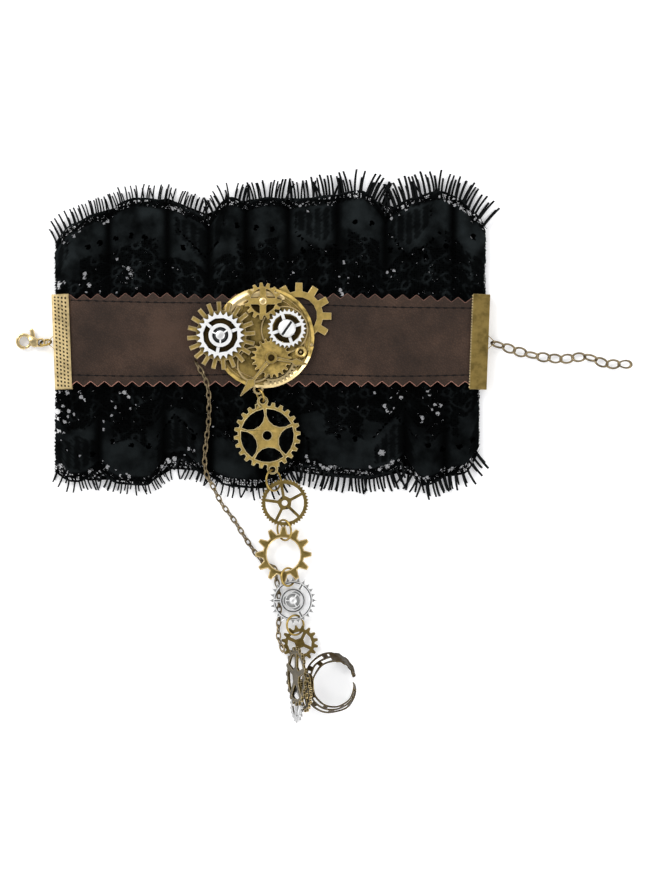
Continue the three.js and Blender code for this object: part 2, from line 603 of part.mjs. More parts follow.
function extensionChain() {
  const route = new THREE.CatmullRomCurve3(CHAIN_ROUTE.map(({ x, y, z }) => new THREE.Vector3(x, y, z)));
  const pitch = CHAIN.length - 4 * CHAIN.wire + CHAIN.overlap;
  const count = Math.round(route.getLength() / pitch);
  const links = Array.from({ length: count + 1 }, (_, i) => {
    const share = i / count;
    const last = i === count;
    const form = wireLink(CHAIN.length, CHAIN.width, CHAIN.wire, 10, 5);
    if (last) taperDrop(form);
    const lean = i === 0 ? 72 : (i % 2 ? -CHAIN.lean : CHAIN.lean);
    return lay(form, route.getPointAt(share), route.getTangentAt(share), last ? lean / 4 : lean);
  });
  piece('extension_chain', geometryOf(fuse(...links)), brass);
}

// Draws a link's near end in, so that it becomes a drop.
function taperDrop(form) {
  const at = form.attributes.position;
  for (let i = 0; i < at.count; i += 1) {
    at.setY(i, at.getY(i) * (0.82 + 0.06 * at.getX(i)));
  }
}

// Side chain: its outer form, from the spur gear over the lace to the finger ring
const SIDE_CHAIN = { radius: 1.02, sides: 8, steps: 34 };
const SIDE_ROUTE = [
  { x: -30.4, y: -9.2, z: 6.8 }, { x: -27.4, y: -14.6, z: 6.1 }, { x: -26.2, y: -18.6, z: 6.1 },
  { x: -25.7, y: -23, z: 5 }, { x: -25.8, y: -32, z: 4.2 }, { x: -26.8, y: -41, z: 4.2 },
  { x: -27.5, y: -48, z: 4.2 }, { x: -26.7, y: -54.5, z: 4.1 }, { x: -24.2, y: -59.5, z: 4.1 },
  { x: -20.6, y: -66.6, z: 2.8 }, { x: -17.6, y: -70.8, z: 1.6 }, { x: -14.6, y: -75, z: 1.2 },
  { x: -8.9, y: -84, z: 1.1 }, { x: -3.5, y: -91, z: 1.1 }, { x: 1.2, y: -93.6, z: 1.1 },
  { x: 2.2, y: -98.5, z: 1.1 }, { x: 3.2, y: -104.5, z: 1.1 }, { x: 3.4, y: -112.5, z: 1.1 },
  { x: 3.1, y: -117.5, z: 1.3 }, { x: 3, y: -120, z: 1.8 }, { x: 3.3, y: -123, z: 3.1 },
  { x: 4.6, y: -126.6, z: 4.6 },
];

function sideChain() {
  const route = new THREE.CatmullRomCurve3(SIDE_ROUTE.map(({ x, y, z }) => new THREE.Vector3(x, y, z)));
  const section = new THREE.Shape(circle(SIDE_CHAIN.radius, SIDE_CHAIN.sides));
  piece('side_chain', new THREE.ExtrudeGeometry(section, {
    steps: SIDE_CHAIN.steps, bevelEnabled: false, extrudePath: route,
  }), brass);
}

// Finger ring on its side: an open filigree band that carries three stacked gears
const RING = {
  x: 25.3, y: -141.1, z: 6.5, tilt: 19.7, inner: 9.15, wall: 0.9, width: 6.4, flare: 2.4, columns: 20, gap: 13,
  gapAt: 7,
};

function ringBand(into) {
  const from = RING.gapAt + RING.gap / 2;
  const sweep = 360 - RING.gap;
  const rows = [-1, -0.62, 0, 0.62, 1];
  const place = (c, r) => {
    const slant = Math.abs(rows[r]) < 0.1 ? 0.5 : 0;
    const wave = Math.abs(rows[r]) === 1 ? 0.88 + 0.12 * Math.cos(c * Math.PI) : 1;
    const inside = c > 0 && c < RING.columns ? slant : 0;
    const degrees = from + sweep * (c + inside) / RING.columns;
    return [degrees, rows[r] * wave * RING.width / 2];
  };
  const cells = [];
  for (let c = 0; c < RING.columns; c += 1) {
    for (let r = 0; r < rows.length - 1; r += 1) {
      const middle = r === 1 || r === 2;
      const window = middle && c % 2 === 1 && c < RING.columns - 1;
      if (window) continue;
      cells.push([place(c, r), place(c + 1, r), place(c + 1, r + 1), place(c, r + 1)]
        .map(([degrees, height]) => [degrees, height, 0]));
    }
  }
  const band = cellSheet(cells, RING.wall);
  const at = band.attributes.position;
  for (let i = 0; i < at.count; i += 1) {
    const height = at.getY(i);
    const side = Math.abs(Math.sin(radians(at.getX(i))));
    const flare = RING.flare * side * (0.5 - height / RING.width);
    const spot = polar(RING.inner + at.getZ(i) + flare, at.getX(i));
    at.setXYZ(i, spot.x, spot.y, height);
  }
  const pad = wheel(circle(4.6, 12), 1.5).rotateY(-Math.PI / 2).translate(-RING.inner - 1.1, 0, 0);
  piece('ring_band', geometryOf(solidOf(band).add(solidOf(pad))), brass, { into });
}

function ringGears(into) {
  const stack = (name, shape, out, y, z, material) =>
    piece(name, geometryOf(shape).rotateY(-Math.PI / 2), material, { into, at: [-out, y, z] });
  const big = sheet(gearOutline({ teeth: 20, tip: 12.2, foot: 10.8, root: 0.6, crown: 0.3 }), 1,
    spokeWindows({ spokes: 5, inner: 4, outer: 9.6, width: 2.2, turn: 18, steps: 4 }));
  const post = sheet(circle(1.3, 8), 2.3).translate(0, -3.5, -2.2);
  const small = sheet(gearOutline({ teeth: 16, tip: 7.6, foot: 6.3, root: 0.6, crown: 0.3 }), 1,
    spokeWindows({ spokes: 4, inner: 2.4, outer: 5, width: 1.6, turn: 30, steps: 2 }));
  const front = sheet(gearOutline({ teeth: 20, tip: 7.7, foot: 6.4, root: 0.75, crown: 0 }), 1,
    spokeWindows({ spokes: 3, inner: 2.6, outer: 5.2, width: 1.3, turn: 30, steps: 3 }));
  stack('ring_gear_big', fuse(big, post), 15, 3.5, 0, brass);
  stack('ring_gear_small', solidOf(small), 11.2, -3.9, 0, brass);
  stack('ring_gear_silver', solidOf(front), 13.7, -8.5, -3.6, silver);
}

function fingerRing() {
  const tilted = new THREE.Group();
  tilted.position.set(RING.x, RING.y, RING.z);
  tilted.rotation.y = radians(RING.tilt);
  group.add(tilted);
  ringBand(tilted);
  ringGears(tilted);
}

leatherBand();
clamp('clamp_left', -1);
clamp('clamp_right', 1);
ruffle('lace_ruffle_upper', UPPER_FOLDS, UPPER_OPEN, 1);
ruffle('lace_ruffle_lower', LOWER_FOLDS, LOWER_OPEN, -1);
backLayer('lace_back_upper', UPPER_BACK, 1);
backLayer('lace_back_lower', LOWER_BACK, -1);
medallion();
medallionGears();
brokenRingGear();
slottedScrew();
clockHands();
eyelet();
dropGears();
dropRings();
clasp();
extensionChain();
sideChain();
fingerRing();

// The origin is the middle of the armband's box, on the surface that it lies on.
group.updateMatrixWorld(true);
const box = new THREE.Box3().setFromObject(group, true);
const centre = box.getCenter(new THREE.Vector3());
group.position.set(-centre.x, -centre.y, -box.min.z);
group.updateMatrixWorld(true);

export default group;
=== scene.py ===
"""Looks of the lace armband: gathered eyelash lace, a pinked leather band, brass clamps and chains, and
the gears of its medallion, its drop and its finger ring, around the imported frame. Metres, +Z up."""
import math
import random
from collections import namedtuple

import bpy
import numpy as np
from bpy.props import FloatProperty, FloatVectorProperty, IntProperty, PointerProperty
from mathutils import Matrix, Vector


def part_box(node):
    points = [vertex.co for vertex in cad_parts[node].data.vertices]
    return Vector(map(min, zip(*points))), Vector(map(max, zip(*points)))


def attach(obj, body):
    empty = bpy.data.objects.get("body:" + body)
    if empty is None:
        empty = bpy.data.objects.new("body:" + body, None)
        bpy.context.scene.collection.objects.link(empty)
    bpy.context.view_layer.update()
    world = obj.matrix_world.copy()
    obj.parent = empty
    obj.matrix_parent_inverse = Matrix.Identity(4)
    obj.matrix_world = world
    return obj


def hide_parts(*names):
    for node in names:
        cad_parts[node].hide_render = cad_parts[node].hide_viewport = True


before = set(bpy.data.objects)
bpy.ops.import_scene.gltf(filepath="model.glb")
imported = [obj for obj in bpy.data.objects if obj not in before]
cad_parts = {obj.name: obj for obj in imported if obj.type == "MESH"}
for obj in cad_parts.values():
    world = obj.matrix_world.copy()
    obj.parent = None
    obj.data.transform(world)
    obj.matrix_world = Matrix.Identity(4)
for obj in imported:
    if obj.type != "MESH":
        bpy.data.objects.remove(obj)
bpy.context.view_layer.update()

bl_info = {
    "name": "Lace armband",
    "version": (1, 0, 0),
    "blender": (4, 5, 0),
    "location": "3D View > Sidebar > Armband",
    "description": "Builds the lace, leather, chains and gears of an armband around its frame",
    "category": "Object",
}

MM = 0.001
LEATHER_LOW, LEATHER_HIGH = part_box("leather_band")
LEATHER_BELOW = 18.5 * MM  # how far the leather reaches below the band's middle
MIDDLE = Vector(((LEATHER_LOW[0] + LEATHER_HIGH[0]) / 2, LEATHER_LOW[1] + LEATHER_BELOW, 0))
LEATHER_TOP = LEATHER_HIGH[2] / MM

# Gathered lace, as in the frame, in millimetres.
SEAM = 15.5  # how far from the band's middle the lace is sewn on
CELL = 0.86  # pitch of the net's cells
LACE_DEPTH = 43  # the length that a column of cells is reckoned for
FRONT_HEIGHT = 1.7  # height of the front layers between their folds
BACK_HEIGHT = 0.55
# Where a fold stands along the band, how far its scalloped edge reaches from the band's middle, and how
# high it lifts.
UPPER_FOLDS = (
    (-89.6, 41, 1.2), (-80, 49.8, 3.2), (-67.5, 54.4, 0.2), (-55, 60, 4), (-43, 58.6, 0.3), (-35, 55.2, 3.4),
    (-26, 50, 0.2), (-16.5, 60.2, 4.2), (-10.5, 57.4, 0.6), (-1, 60.2, 3.6), (7.1, 58.8, 0.2), (17, 60, 3.6),
    (27.5, 61.4, 0.3), (36.5, 63, 4.4), (47.5, 53, 0.2), (61, 60.2, 4.2), (70, 62.8, 3), (75.5, 61, 0.3),
    (83, 54.4, 3.2), (89, 47.6, 1),
)
LOWER_FOLDS = (
    (-89.6, 53.6, 1.2), (-81, 58, 3.4), (-71.5, 52.6, 0.2), (-62, 58.8, 3.4), (-52, 59.4, 4), (-44.5, 49.6, 0.2),
    (-36, 48.4, 2.6), (-25.3, 55.4, 0), (-15, 60, 1.9), (-4, 60.6, 0.2), (10, 51.2, 0), (19, 52, 2.8),
    (28, 55.6, 4.2), (38, 56.2, 1.6), (47, 54.6, 4), (55.6, 48.8, 0.2), (63.5, 59.4, 3.8), (72, 55.6, 0.6),
    (79, 54.8, 3.2), (86.4, 44.6, 1),
)
# The layers behind: where along the band, and how far the edge reaches there.
UPPER_BACK = (
    (-89.4, 40), (-76, 53), (-60, 57.5), (-43, 60), (-27, 53.6), (-9, 59.6), (8, 60.2), (22, 59.4),
    (32, 60.6), (45, 58.6), (54, 55.4), (66, 60.6), (80, 59), (88.6, 46),
)
LOWER_BACK = (
    (-89.2, 52), (-76, 57.4), (-68, 57), (-50, 58), (-41, 52.5), (-28, 53.5), (-8, 57), (9, 53.5),
    (22, 55.5), (41, 57), (54, 54), (67, 58), (79, 53), (86.2, 43.6),
)
# Where the motif's points stand along the band: whole numbers are the points of its V rows, and halves
# are the middles of its arches.
UPPER_MOTIF = ((-90, 0.05), (-78, 0.35), (-58, 0.5), (-27.4, 1), (-7, 1.5), (21.6, 2), (37.8, 2.5), (57.3, 3),
               (76, 3.4), (91, 3.7))
LOWER_MOTIF = ((-90, -0.2), (-80, 0), (-58, 0.5), (-40, 1), (-18, 1.5), (6, 2), (31, 2.5), (51, 3), (71, 3.5),
               (90, 4))
# Large eyelets, and V rows of small ones as the end of one arm, the point and the end of the other.
UPPER_EYELETS = (
    (-75.9, 39.6), (-71, 41.3), (-64.3, 43), (-57.9, 44.2), (-52.3, 43.4), (-36.1, 39.2), (-14.1, 48.3),
    (-6.2, 47.5), (0.4, 46.9), (13.3, 38), (34.7, 50), (41.7, 49.2), (49.6, 38.4), (63.9, 35.5), (72.6, 40),
    (83.8, 43.8),
)
UPPER_ROWS = (
    ((-38.6, 46.7), (-27.4, 35.5), (-22, 41.5)), ((10.4, 45.4), (21.6, 35.1), (26.4, 40.4)),
    ((49, 45), (57.3, 34.7), (70.1, 45)),
)
LOWER_EYELETS = (
    (-73.9, -46.2), (-65.6, -41.2), (-57.8, -42.7), (-50.6, -43), (-32.2, -39.4), (-18.3, -29.8),
    (-17.6, -35.5), (27.9, -39.1), (34.9, -40), (65.1, -42.6), (71.3, -44.1), (78.2, -43.2), (83.8, -40.6),
)
LOWER_ROWS = (
    ((-47, -39), (-40, -30), (-31, -38)), ((-2, -41), (6, -31), (15, -40)), ((43, -39), (51, -30), (60, -39)),
)
# Openings through both layers of lace, as along, across and radius.
UPPER_OPENINGS = (
    (-85.8, 41.5, 0.9), (-81.6, 44.2, 1), (-79.5, 46.1, 0.8), (-88.9, 38.5, 0.7), (-67.9, 50.4, 0.9),
    (-69.4, 49.5, 0.7), (-64.3, 55.8, 1), (-40.5, 55.8, 1.1), (-38.4, 54.8, 0.8), (-77.4, 28.6, 1),
    (-77.6, 26.9, 0.9), (-75.7, 23.8, 1.2), (-88.1, 24.6, 1.1), (-88.3, 23, 0.9), (-85.8, 25.1, 0.9),
    (-79.8, 24.2, 0.7), (-59.3, 30.8, 1), (-58.2, 28.4, 1), (-59.9, 26.9, 0.7), (-60.2, 24.9, 0.5),
    (-64, 34.7, 0.8), (-65.5, 36.7, 0.5), (-61.6, 31.7, 0.5), (-76.5, 20.7, 0.6), (-71.2, 21.2, 0.6),
    (-64.3, 20.7, 0.6), (-55.4, 23, 0.5), (-40.8, 31.2, 0.5), (30.2, 33.3, 1), (28.7, 21.9, 0.9),
    (29.4, 20.2, 1), (28.4, 27.4, 0.6), (32.2, 26.9, 0.5), (34.5, 28.6, 0.5), (36, 32.7, 0.5),
    (36.6, 27.4, 0.5), (51.1, 29.8, 0.9), (48.2, 29.2, 0.7), (49.7, 27.4, 0.6), (9.2, 29.2, 0.8),
    (56.1, 55.1, 0.9), (54.6, 56, 0.5), (53.2, 52.8, 0.6), (50, 51.6, 0.8), (12.1, 56.8, 0.8),
    (15, 54.5, 0.7), (23.5, 57.1, 0.6), (25.2, 57, 0.5), (37.2, 60.3, 0.8), (40.9, 59.2, 0.7),
    (35.1, 62.2, 0.5), (74.1, 58.3, 1), (76.2, 57.1, 0.9), (72.1, 58.9, 0.7), (77.3, 59.4, 0.8),
    (78.8, 55.7, 1), (82.3, 53.6, 1.2), (80.5, 54.5, 0.7), (84.9, 51.3, 1.1), (83.4, 50.1, 0.7),
    (87.2, 50.7, 0.8), (70, 60.3, 0.7), (71.2, 61.8, 0.5), (75.3, 60.9, 0.6), (89, 47.2, 0.7),
)
LOWER_OPENINGS = (
    (-88.1, -20.6, 0.8), (-84.9, -20.9, 1.1), (-78.9, -22.7, 1), (-77.4, -23.9, 0.8), (-79.8, -20.6, 0.6),
    (-61, -20.8, 1), (-59.2, -22.7, 0.9), (-62.8, -20.9, 0.7), (-66.1, -24.2, 0.6), (-64.6, -26.9, 0.8),
    (-58.4, -27.5, 0.7), (-56.3, -26, 0.5), (-66.4, -30.4, 0.7), (-69.7, -32.8, 0.7), (-69.5, -36.1, 0.8),
    (-62.5, -36.4, 0.5), (-88.7, -28.7, 1.3), (-84, -28.4, 1), (-84.3, -30.7, 0.8), (-86.6, -26.3, 0.9),
    (-85.6, -32.8, 1), (-83.7, -33.4, 0.7), (-81.9, -29.8, 0.8), (-88.3, -31.6, 0.8), (-88.1, -36.7, 1),
    (-86.3, -37.6, 0.7), (-87.2, -40.6, 0.6), (-84.6, -44.7, 0.6), (-79.5, -47.1, 0.7), (-87.5, -51.3, 1.3),
    (-85.4, -52.2, 0.7), (-84, -53.9, 0.8), (-70, -49.5, 0.8), (-67.9, -51.6, 1.1), (-70.9, -53.7, 0.6),
    (-64.3, -52.8, 0.6), (-62.5, -55.2, 0.8), (-60.1, -54.3, 0.7), (-58.7, -55.6, 0.9), (-75.3, -53.7, 0.8),
    (-45.6, -51.6, 0.8), (-42.9, -49.2, 1.4), (-40.2, -48.3, 1.1), (-36, -46.5, 0.6), (-34.2, -44.1, 0.9),
    (-32.2, -44.9, 0.8), (-24.1, -34.9, 0.6), (47.3, -26.3, 1), (48.2, -28.3, 0.9), (50, -28.9, 0.6),
    (51.1, -27.2, 0.6), (54, -22.8, 0.9), (52.6, -21.1, 0.6), (55.5, -20.2, 0.5), (49.7, -23.1, 0.5),
    (43, -20.8, 0.7), (65.1, -20.2, 0.8), (65.7, -22, 0.6), (63.1, -22.8, 0.5), (68, -26, 0.9),
    (70.3, -26, 1), (69.2, -29.5, 1), (66.8, -27.8, 0.7), (62.8, -31.3, 1), (62.8, -33, 0.6),
    (87.5, -23.1, 1.2), (45.9, -45.8, 1.6), (48.2, -51.4, 1.2), (50.3, -49.6, 1.2), (45, -52.8, 0.8),
    (41.2, -51.6, 0.9), (39.5, -54, 0.8), (52.9, -48.7, 0.7), (37.6, -54.3, 0.6), (20.3, -50.8, 0.8),
    (21.7, -51.8, 0.9), (23.4, -52.5, 0.9), (24.9, -51.7, 0.8), (26.1, -50.8, 0.6), (18, -49.9, 0.7),
    (14.8, -47.3, 0.9), (15.6, -49.3, 0.7), (34, -53.1, 0.6), (58.1, -53.4, 0.7), (59.9, -54.8, 0.9),
    (61.5, -56, 0.8), (65.1, -56, 0.9), (63.4, -56.3, 0.7), (70.9, -52.8, 0.6), (75.3, -52.2, 0.7),
    (73.8, -53.1, 0.6), (79.1, -51.9, 0.8), (82.8, -48.7, 0.9), (82.6, -50.5, 0.7), (82, -55.7, 0.9),
    (85.5, -44.7, 0.8),
)
# The side chain's and the extension chain's routes, as in the frame.
SIDE_ROUTE = (
    (-30.4, -9.2, 6.8), (-27.4, -14.6, 6.1), (-26.2, -18.6, 6.1), (-25.7, -23, 5), (-25.8, -32, 4.2),
    (-26.8, -41, 4.2), (-27.5, -48, 4.2), (-26.7, -54.5, 4.1), (-24.2, -59.5, 4.1), (-20.6, -66.6, 2.8),
    (-17.6, -70.8, 1.6), (-14.6, -75, 1.2), (-8.9, -84, 1.1), (-3.5, -91, 1.1), (1.2, -93.6, 1.1),
    (2.2, -98.5, 1.1), (3.2, -104.5, 1.1), (3.4, -112.5, 1.1), (3.1, -117.5, 1.3), (3, -120, 1.8),
    (3.3, -123, 3.1), (4.6, -126.6, 4.6),
)
CHAIN_ROUTE = (
    (94.1, -0.9, 2.6), (103.3, -3.9, 1.9), (111.2, -5.8, 1.85), (121.2, -6.8, 1.85), (131, -6, 1.85),
    (138.9, -8.7, 1.85), (147, -9, 1.85),
)
# Jump rings, as in the frame: the two points that each one joins, and its lean in degrees.
RINGS = (
    ("drop_ring_1", (-5.2, -19.6, 7), (-3.5, -24.5, 6), 62),
    ("drop_ring_2", (0.7, -52.8, 6), (1.5, -61.4, 5.95), -48),
    ("drop_ring_3", (5.6, -73.6, 5.4), (5.4, -82, 4), 47),
    ("drop_ring_4", (6.3, -93.7, 4), (7.9, -100.9, 2.9), -42),
    ("drop_ring_5", (9.3, -113.3, 2.9), (10.8, -121.3, 2.35), -33),
    ("clasp_ring", (-91.4, 0, 3), (-95.7, 0, 1.6), 58),
)
# The clamps' middle, depth along the band and lean, as in the frame.
CLAMP = {"x": 86.55, "y": 0.2, "deep": 7, "lean": 2.2}
# Middles of the round pieces, as in the frame.
PLATE_MIDDLE = (-2.9, 1.8)
SPUR_MIDDLE = (-20.7, 2.7)
CROSS_MIDDLE = (-3.2, 16.8)
DIAL_MIDDLE = (0.3, -6.6)
EYELET_MIDDLE = (12.4, -4.2)
EYE_MIDDLE = (-14.3, 14.2)
SILVER_DROP_MIDDLE = (9.1, -107.1)
CLASP_MIDDLE = (-99.2, 0.4)
FINGER_MIDDLE = (25.3, -141.1, 6.5)
PICTURE_MIDDLE = (22.4, -38.4, 3)  # what the camera looks at

# Slots of the record.
BRASS, SILVER, LACE, LEATHER = "antique_brass", "silver", "lace_black", "leather_brown"
# A metal piece's finishes: on its faces, on its worn edges and in its recesses, the last as painted shade.
Metals = namedtuple("Metals", ("face", "worn", "deep"))
FACE, WORN, DEEP = range(3)


def at(x, y, z=0.0):
    """A place from millimetres along, across and above the middle of the band."""
    return MIDDLE + Vector((x, y, z)) * MM


def clamp_place(side):
    """Where a clamp's own frame is: its middle, with X along the band."""
    turn = Matrix.Rotation(math.radians(-side * CLAMP["lean"]), 4, "Z")
    return Matrix.Translation(at(side * CLAMP["x"], CLAMP["y"])) @ turn


# Sizes and colours that a user would change

class LaceSizes(bpy.types.PropertyGroup):
    cell: FloatProperty(name="Net cell", description="Pitch of the net's cells", default=CELL * MM,
                        unit="LENGTH", precision=5)
    thread: FloatProperty(name="Thread", description="Width of the net's threads, each side of a cell",
                          default=0.27 * MM, unit="LENGTH", precision=5)
    fine_thread: FloatProperty(name="Fine thread", description="Width of the threads in the open edge",
                               default=0.18 * MM, unit="LENGTH", precision=5)
    cloth: FloatProperty(name="Cloth", description="Thickness of the lace", default=0.3 * MM, unit="LENGTH",
                         precision=5)
    eyelet: FloatProperty(name="Eyelet", description="Radius of the large eyelets", default=1.3 * MM,
                          unit="LENGTH", precision=5)
    lash: FloatProperty(name="Lash", description="Length of the lashes on the scalloped edge",
                        default=8.4 * MM, unit="LENGTH", precision=5)
    lash_pitch: FloatProperty(name="Lash pitch", description="Space between the lashes of one layer",
                              default=2.15 * MM, unit="LENGTH", precision=5)
    lash_radius: FloatProperty(name="Lash radius", description="Radius of a lash at its foot",
                               default=0.52 * MM, unit="LENGTH", precision=5)


class LeatherSizes(bpy.types.PropertyGroup):
    bevel: FloatProperty(name="Cut edge", description="Width of the pale cut edge seen from above",
                         default=0.44 * MM, unit="LENGTH", precision=5)
    stitch: FloatProperty(name="Stitch", description="Length of a stitch", default=3.3 * MM, unit="LENGTH",
                          precision=5)
    stitch_pitch: FloatProperty(name="Stitch pitch", description="Space from stitch to stitch",
                                default=3.5 * MM, unit="LENGTH", precision=5)
    stitch_radius: FloatProperty(name="Stitch thread", description="Radius of the stitching thread",
                                 default=0.26 * MM, unit="LENGTH", precision=5)


class MetalSizes(bpy.types.PropertyGroup):
    bevel: FloatProperty(name="Gear edge", description="Width of the worn edge of a gear",
                         default=0.13 * MM, unit="LENGTH", precision=5)
    outline: FloatProperty(name="Raised outline", description="Width of the raised outline on cast gears",
                           default=0.3 * MM, unit="LENGTH", precision=5)
    dimple_pitch: FloatProperty(name="Dimple pitch", description="Space between the left clamp's dimples",
                                default=1.5 * MM, unit="LENGTH", precision=5)
    wire: FloatProperty(name="Ring wire", description="Radius of the jump rings' wire", default=0.45 * MM,
                        unit="LENGTH", precision=5)
    side_links: IntProperty(name="Side chain links", description="Number of links in the side chain",
                            default=48)
    end_links: IntProperty(name="Extension chain links", description="Number of links in the extension chain",
                           default=12)


class Finishes(bpy.types.PropertyGroup):
    leather: FloatVectorProperty(name="Leather", description="Colour of the leather's face", subtype="COLOR",
                                 default=(0.036, 0.0197, 0.0127))
    cut_edge: FloatVectorProperty(name="Cut edge", description="Colour of the leather's cut edge",
                                  subtype="COLOR", default=(0.5, 0.24, 0.175))
    lace: FloatVectorProperty(name="Lace", description="Colour of the lace", subtype="COLOR",
                              default=(0.0062, 0.0077, 0.0082))
    brass: FloatVectorProperty(name="Brass", description="Colour of the antique brass", subtype="COLOR",
                               default=(0.5, 0.355, 0.11))
    brass_worn: FloatVectorProperty(name="Worn brass", description="Colour of brass on worn edges",
                                    subtype="COLOR", default=(0.9, 0.7, 0.36))
    # Near-black brass for recesses stands for painted shade; the finger ring's bronze is mixed from it too.
    brass_dark: FloatVectorProperty(name="Dark brass", description="Colour of brass in recesses",
                                    subtype="COLOR", default=(0.05, 0.032, 0.011))
    chain: FloatVectorProperty(name="Chains", description="Colour of the chains' brass", subtype="COLOR",
                               default=(0.25, 0.195, 0.115))
    silver: FloatVectorProperty(name="Silver", description="Colour of the silver gears", subtype="COLOR",
                                default=(0.95, 0.95, 0.95))


class StageSizes(bpy.types.PropertyGroup):
    key_power: FloatProperty(name="Key light", description="Power of the large light", default=7.0,
                             unit="POWER")
    fill_power: FloatProperty(name="Fill light", description="Power of the fill light", default=3.0,
                              unit="POWER")
    camera_distance: FloatProperty(name="Camera distance", description="Height of the camera above the band",
                                   default=1.0028, unit="LENGTH")


# Modelling steps shared by the pieces

SHARP = 32  # degrees from which an edge of a cast piece is worn and shaded sharp


def pick(*objects):
    """Selects only these objects, in object mode, and makes the first one active."""
    if bpy.context.object and bpy.context.object.mode != "OBJECT":
        bpy.ops.object.mode_set(mode="OBJECT")
    bpy.ops.object.select_all(action="DESELECT")
    for obj in objects:
        obj.select_set(True)
    if objects:
        bpy.context.view_layer.objects.active = objects[0]


def leave_edit():
    bpy.ops.object.mode_set(mode="OBJECT")


def edit_all(obj):
    """Opens a piece in edit mode, with all of it selected."""
    pick(obj)
    bpy.ops.object.mode_set(mode="EDIT")
    bpy.ops.mesh.select_all(action="SELECT")


def in_scene(name, data):
    """A new object in the scene."""
    obj = bpy.data.objects.new(name, data)
    bpy.context.scene.collection.objects.link(obj)
    return obj


def new_piece(name):
    """Names the primitive just added, and settles its place into its mesh."""
    obj = bpy.context.object
    obj.name = name
    obj.data.name = name
    pick(obj)
    bpy.ops.object.transform_apply(location=True, rotation=True, scale=True)
    return obj


def grid(name, columns, rows):
    """A flat grid of faces, one unit wide and high."""
    pick()
    bpy.ops.mesh.primitive_grid_add(x_subdivisions=columns, y_subdivisions=rows, size=1)
    return new_piece(name)


def grid_place(face, columns, rows):
    """The column and the row of a face in such a grid."""
    return round((face.center.x + 0.5) * columns - 0.5), round((face.center.y + 0.5) * rows - 0.5)


def choose_faces(obj, test):
    """Selects the faces that pass a test, and leaves the piece in edit mode."""
    pick(obj)
    bpy.ops.object.mode_set(mode="EDIT")
    bpy.ops.mesh.select_mode(type="FACE")
    bpy.ops.mesh.select_all(action="DESELECT")
    leave_edit()
    for face in obj.data.polygons:
        face.select = bool(test(face))
    bpy.ops.object.mode_set(mode="EDIT")


def shape(obj, move):
    """Moves all points of a piece at once: move takes and gives an array of places."""
    points = np.empty(len(obj.data.vertices) * 3)
    obj.data.vertices.foreach_get("co", points)
    points = np.asarray(move(points.reshape(-1, 3)), dtype=float)
    obj.data.vertices.foreach_set("co", points.ravel())
    obj.data.update()


def apply(obj, kind, **settings):
    """Adds a modifier with these settings and applies it."""
    pick(obj)
    modifier = obj.modifiers.new(kind.lower(), kind)
    for key, value in settings.items():
        setattr(modifier, key, value)
    bpy.ops.object.modifier_apply(modifier=modifier.name)


def outwards(obj):
    """Merges doubles and turns the faces of a closed piece outwards."""
    edit_all(obj)
    bpy.ops.mesh.remove_doubles(threshold=1e-6)
    bpy.ops.mesh.normals_make_consistent(inside=False)
    leave_edit()


def smooth(obj, degrees):
    pick(obj)
    bpy.ops.object.shade_smooth_by_angle(angle=math.radians(degrees))


def repeat(original, places, name):
    """Copies a piece to each place, each copy with its own mesh, and joins the copies."""
    copies = []
    for place in places:
        copies.append(in_scene(name, original.data.copy()))
        copies[-1].data.transform(place)
    pick(*copies)
    bpy.ops.object.join()
    joined = bpy.context.object
    joined.name = name
    joined.data.name = name
    bpy.data.objects.remove(original)
    return joined


def coat(obj, materials):
    """Gives a piece its materials, all of it the first one."""
    obj.data.materials.clear()
    for item in materials:
        obj.data.materials.append(item)


def finish(obj, materials=None, replaces=(), body="root"):
    """Gives a finished piece its materials, its body and the nodes that it stands for."""
    if materials:
        coat(obj, materials)
    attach(obj, body)
    if replaces:
        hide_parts(*replaces)


def turned(name, centre, profile, sides=48):
    """A round piece: a circle is extruded from ring to ring of a profile of radii and heights in
    millimetres. A profile that ends where it starts makes a ring, and any other is filled at both ends."""
    (first, low), (last, high) = profile[0], profile[-1]
    x, y, z = centre
    pick()
    bpy.ops.mesh.primitive_circle_add(vertices=sides, radius=first * MM, location=at(x, y, z + low))
    obj = new_piece(name)
    edit_all(obj)
    for (r0, z0), (r1, z1) in zip(profile, profile[1:]):
        bpy.ops.mesh.extrude_edges_move(TRANSFORM_OT_translate={"value": (0, 0, (z1 - z0) * MM)})
        bpy.ops.transform.resize(value=(r1 / r0, r1 / r0, 1), center_override=at(x, y, z))
    bpy.ops.mesh.select_all(action="SELECT")
    if (first, low) != (last, high):
        bpy.ops.mesh.fill_holes(sides=0)
    leave_edit()
    outwards(obj)
    smooth(obj, 42)
    return obj


def ring_profile(outer, inner, height):
    """The profile of a raised ring with rounded upper edges."""
    round_off = min(0.16, (outer - inner) / 3)
    return ((outer, 0), (outer, height - round_off), (outer - round_off, height), (inner + round_off, height),
            (inner, height - round_off), (inner, 0), (outer, 0))


def disc_profile(radius, height):
    """The profile of a slightly domed disc."""
    return (radius, 0), (radius * 0.97, height * 0.6), (radius * 0.8, height * 0.93), (radius * 0.2, height)


def outward(centre, turn, out, aside=0.0, lift=0.0):
    """The place that lies out from a centre along a direction in degrees, and aside of it."""
    x, y, z = centre
    cosine, sine = math.cos(math.radians(turn)), math.sin(math.radians(turn))
    return x + out * cosine - aside * sine, y + out * sine + aside * cosine, z + lift


def bar(name, centre, size, turn):
    """A small straight bar, turned about the upright in degrees."""
    pick()
    bpy.ops.mesh.primitive_cube_add(size=1, location=at(*centre), rotation=(0, 0, math.radians(turn)),
                                    scale=[part * MM for part in size])
    piece = new_piece(name)
    apply(piece, "BEVEL", width=0.12 * MM, segments=2)
    smooth(piece, 50)
    return piece


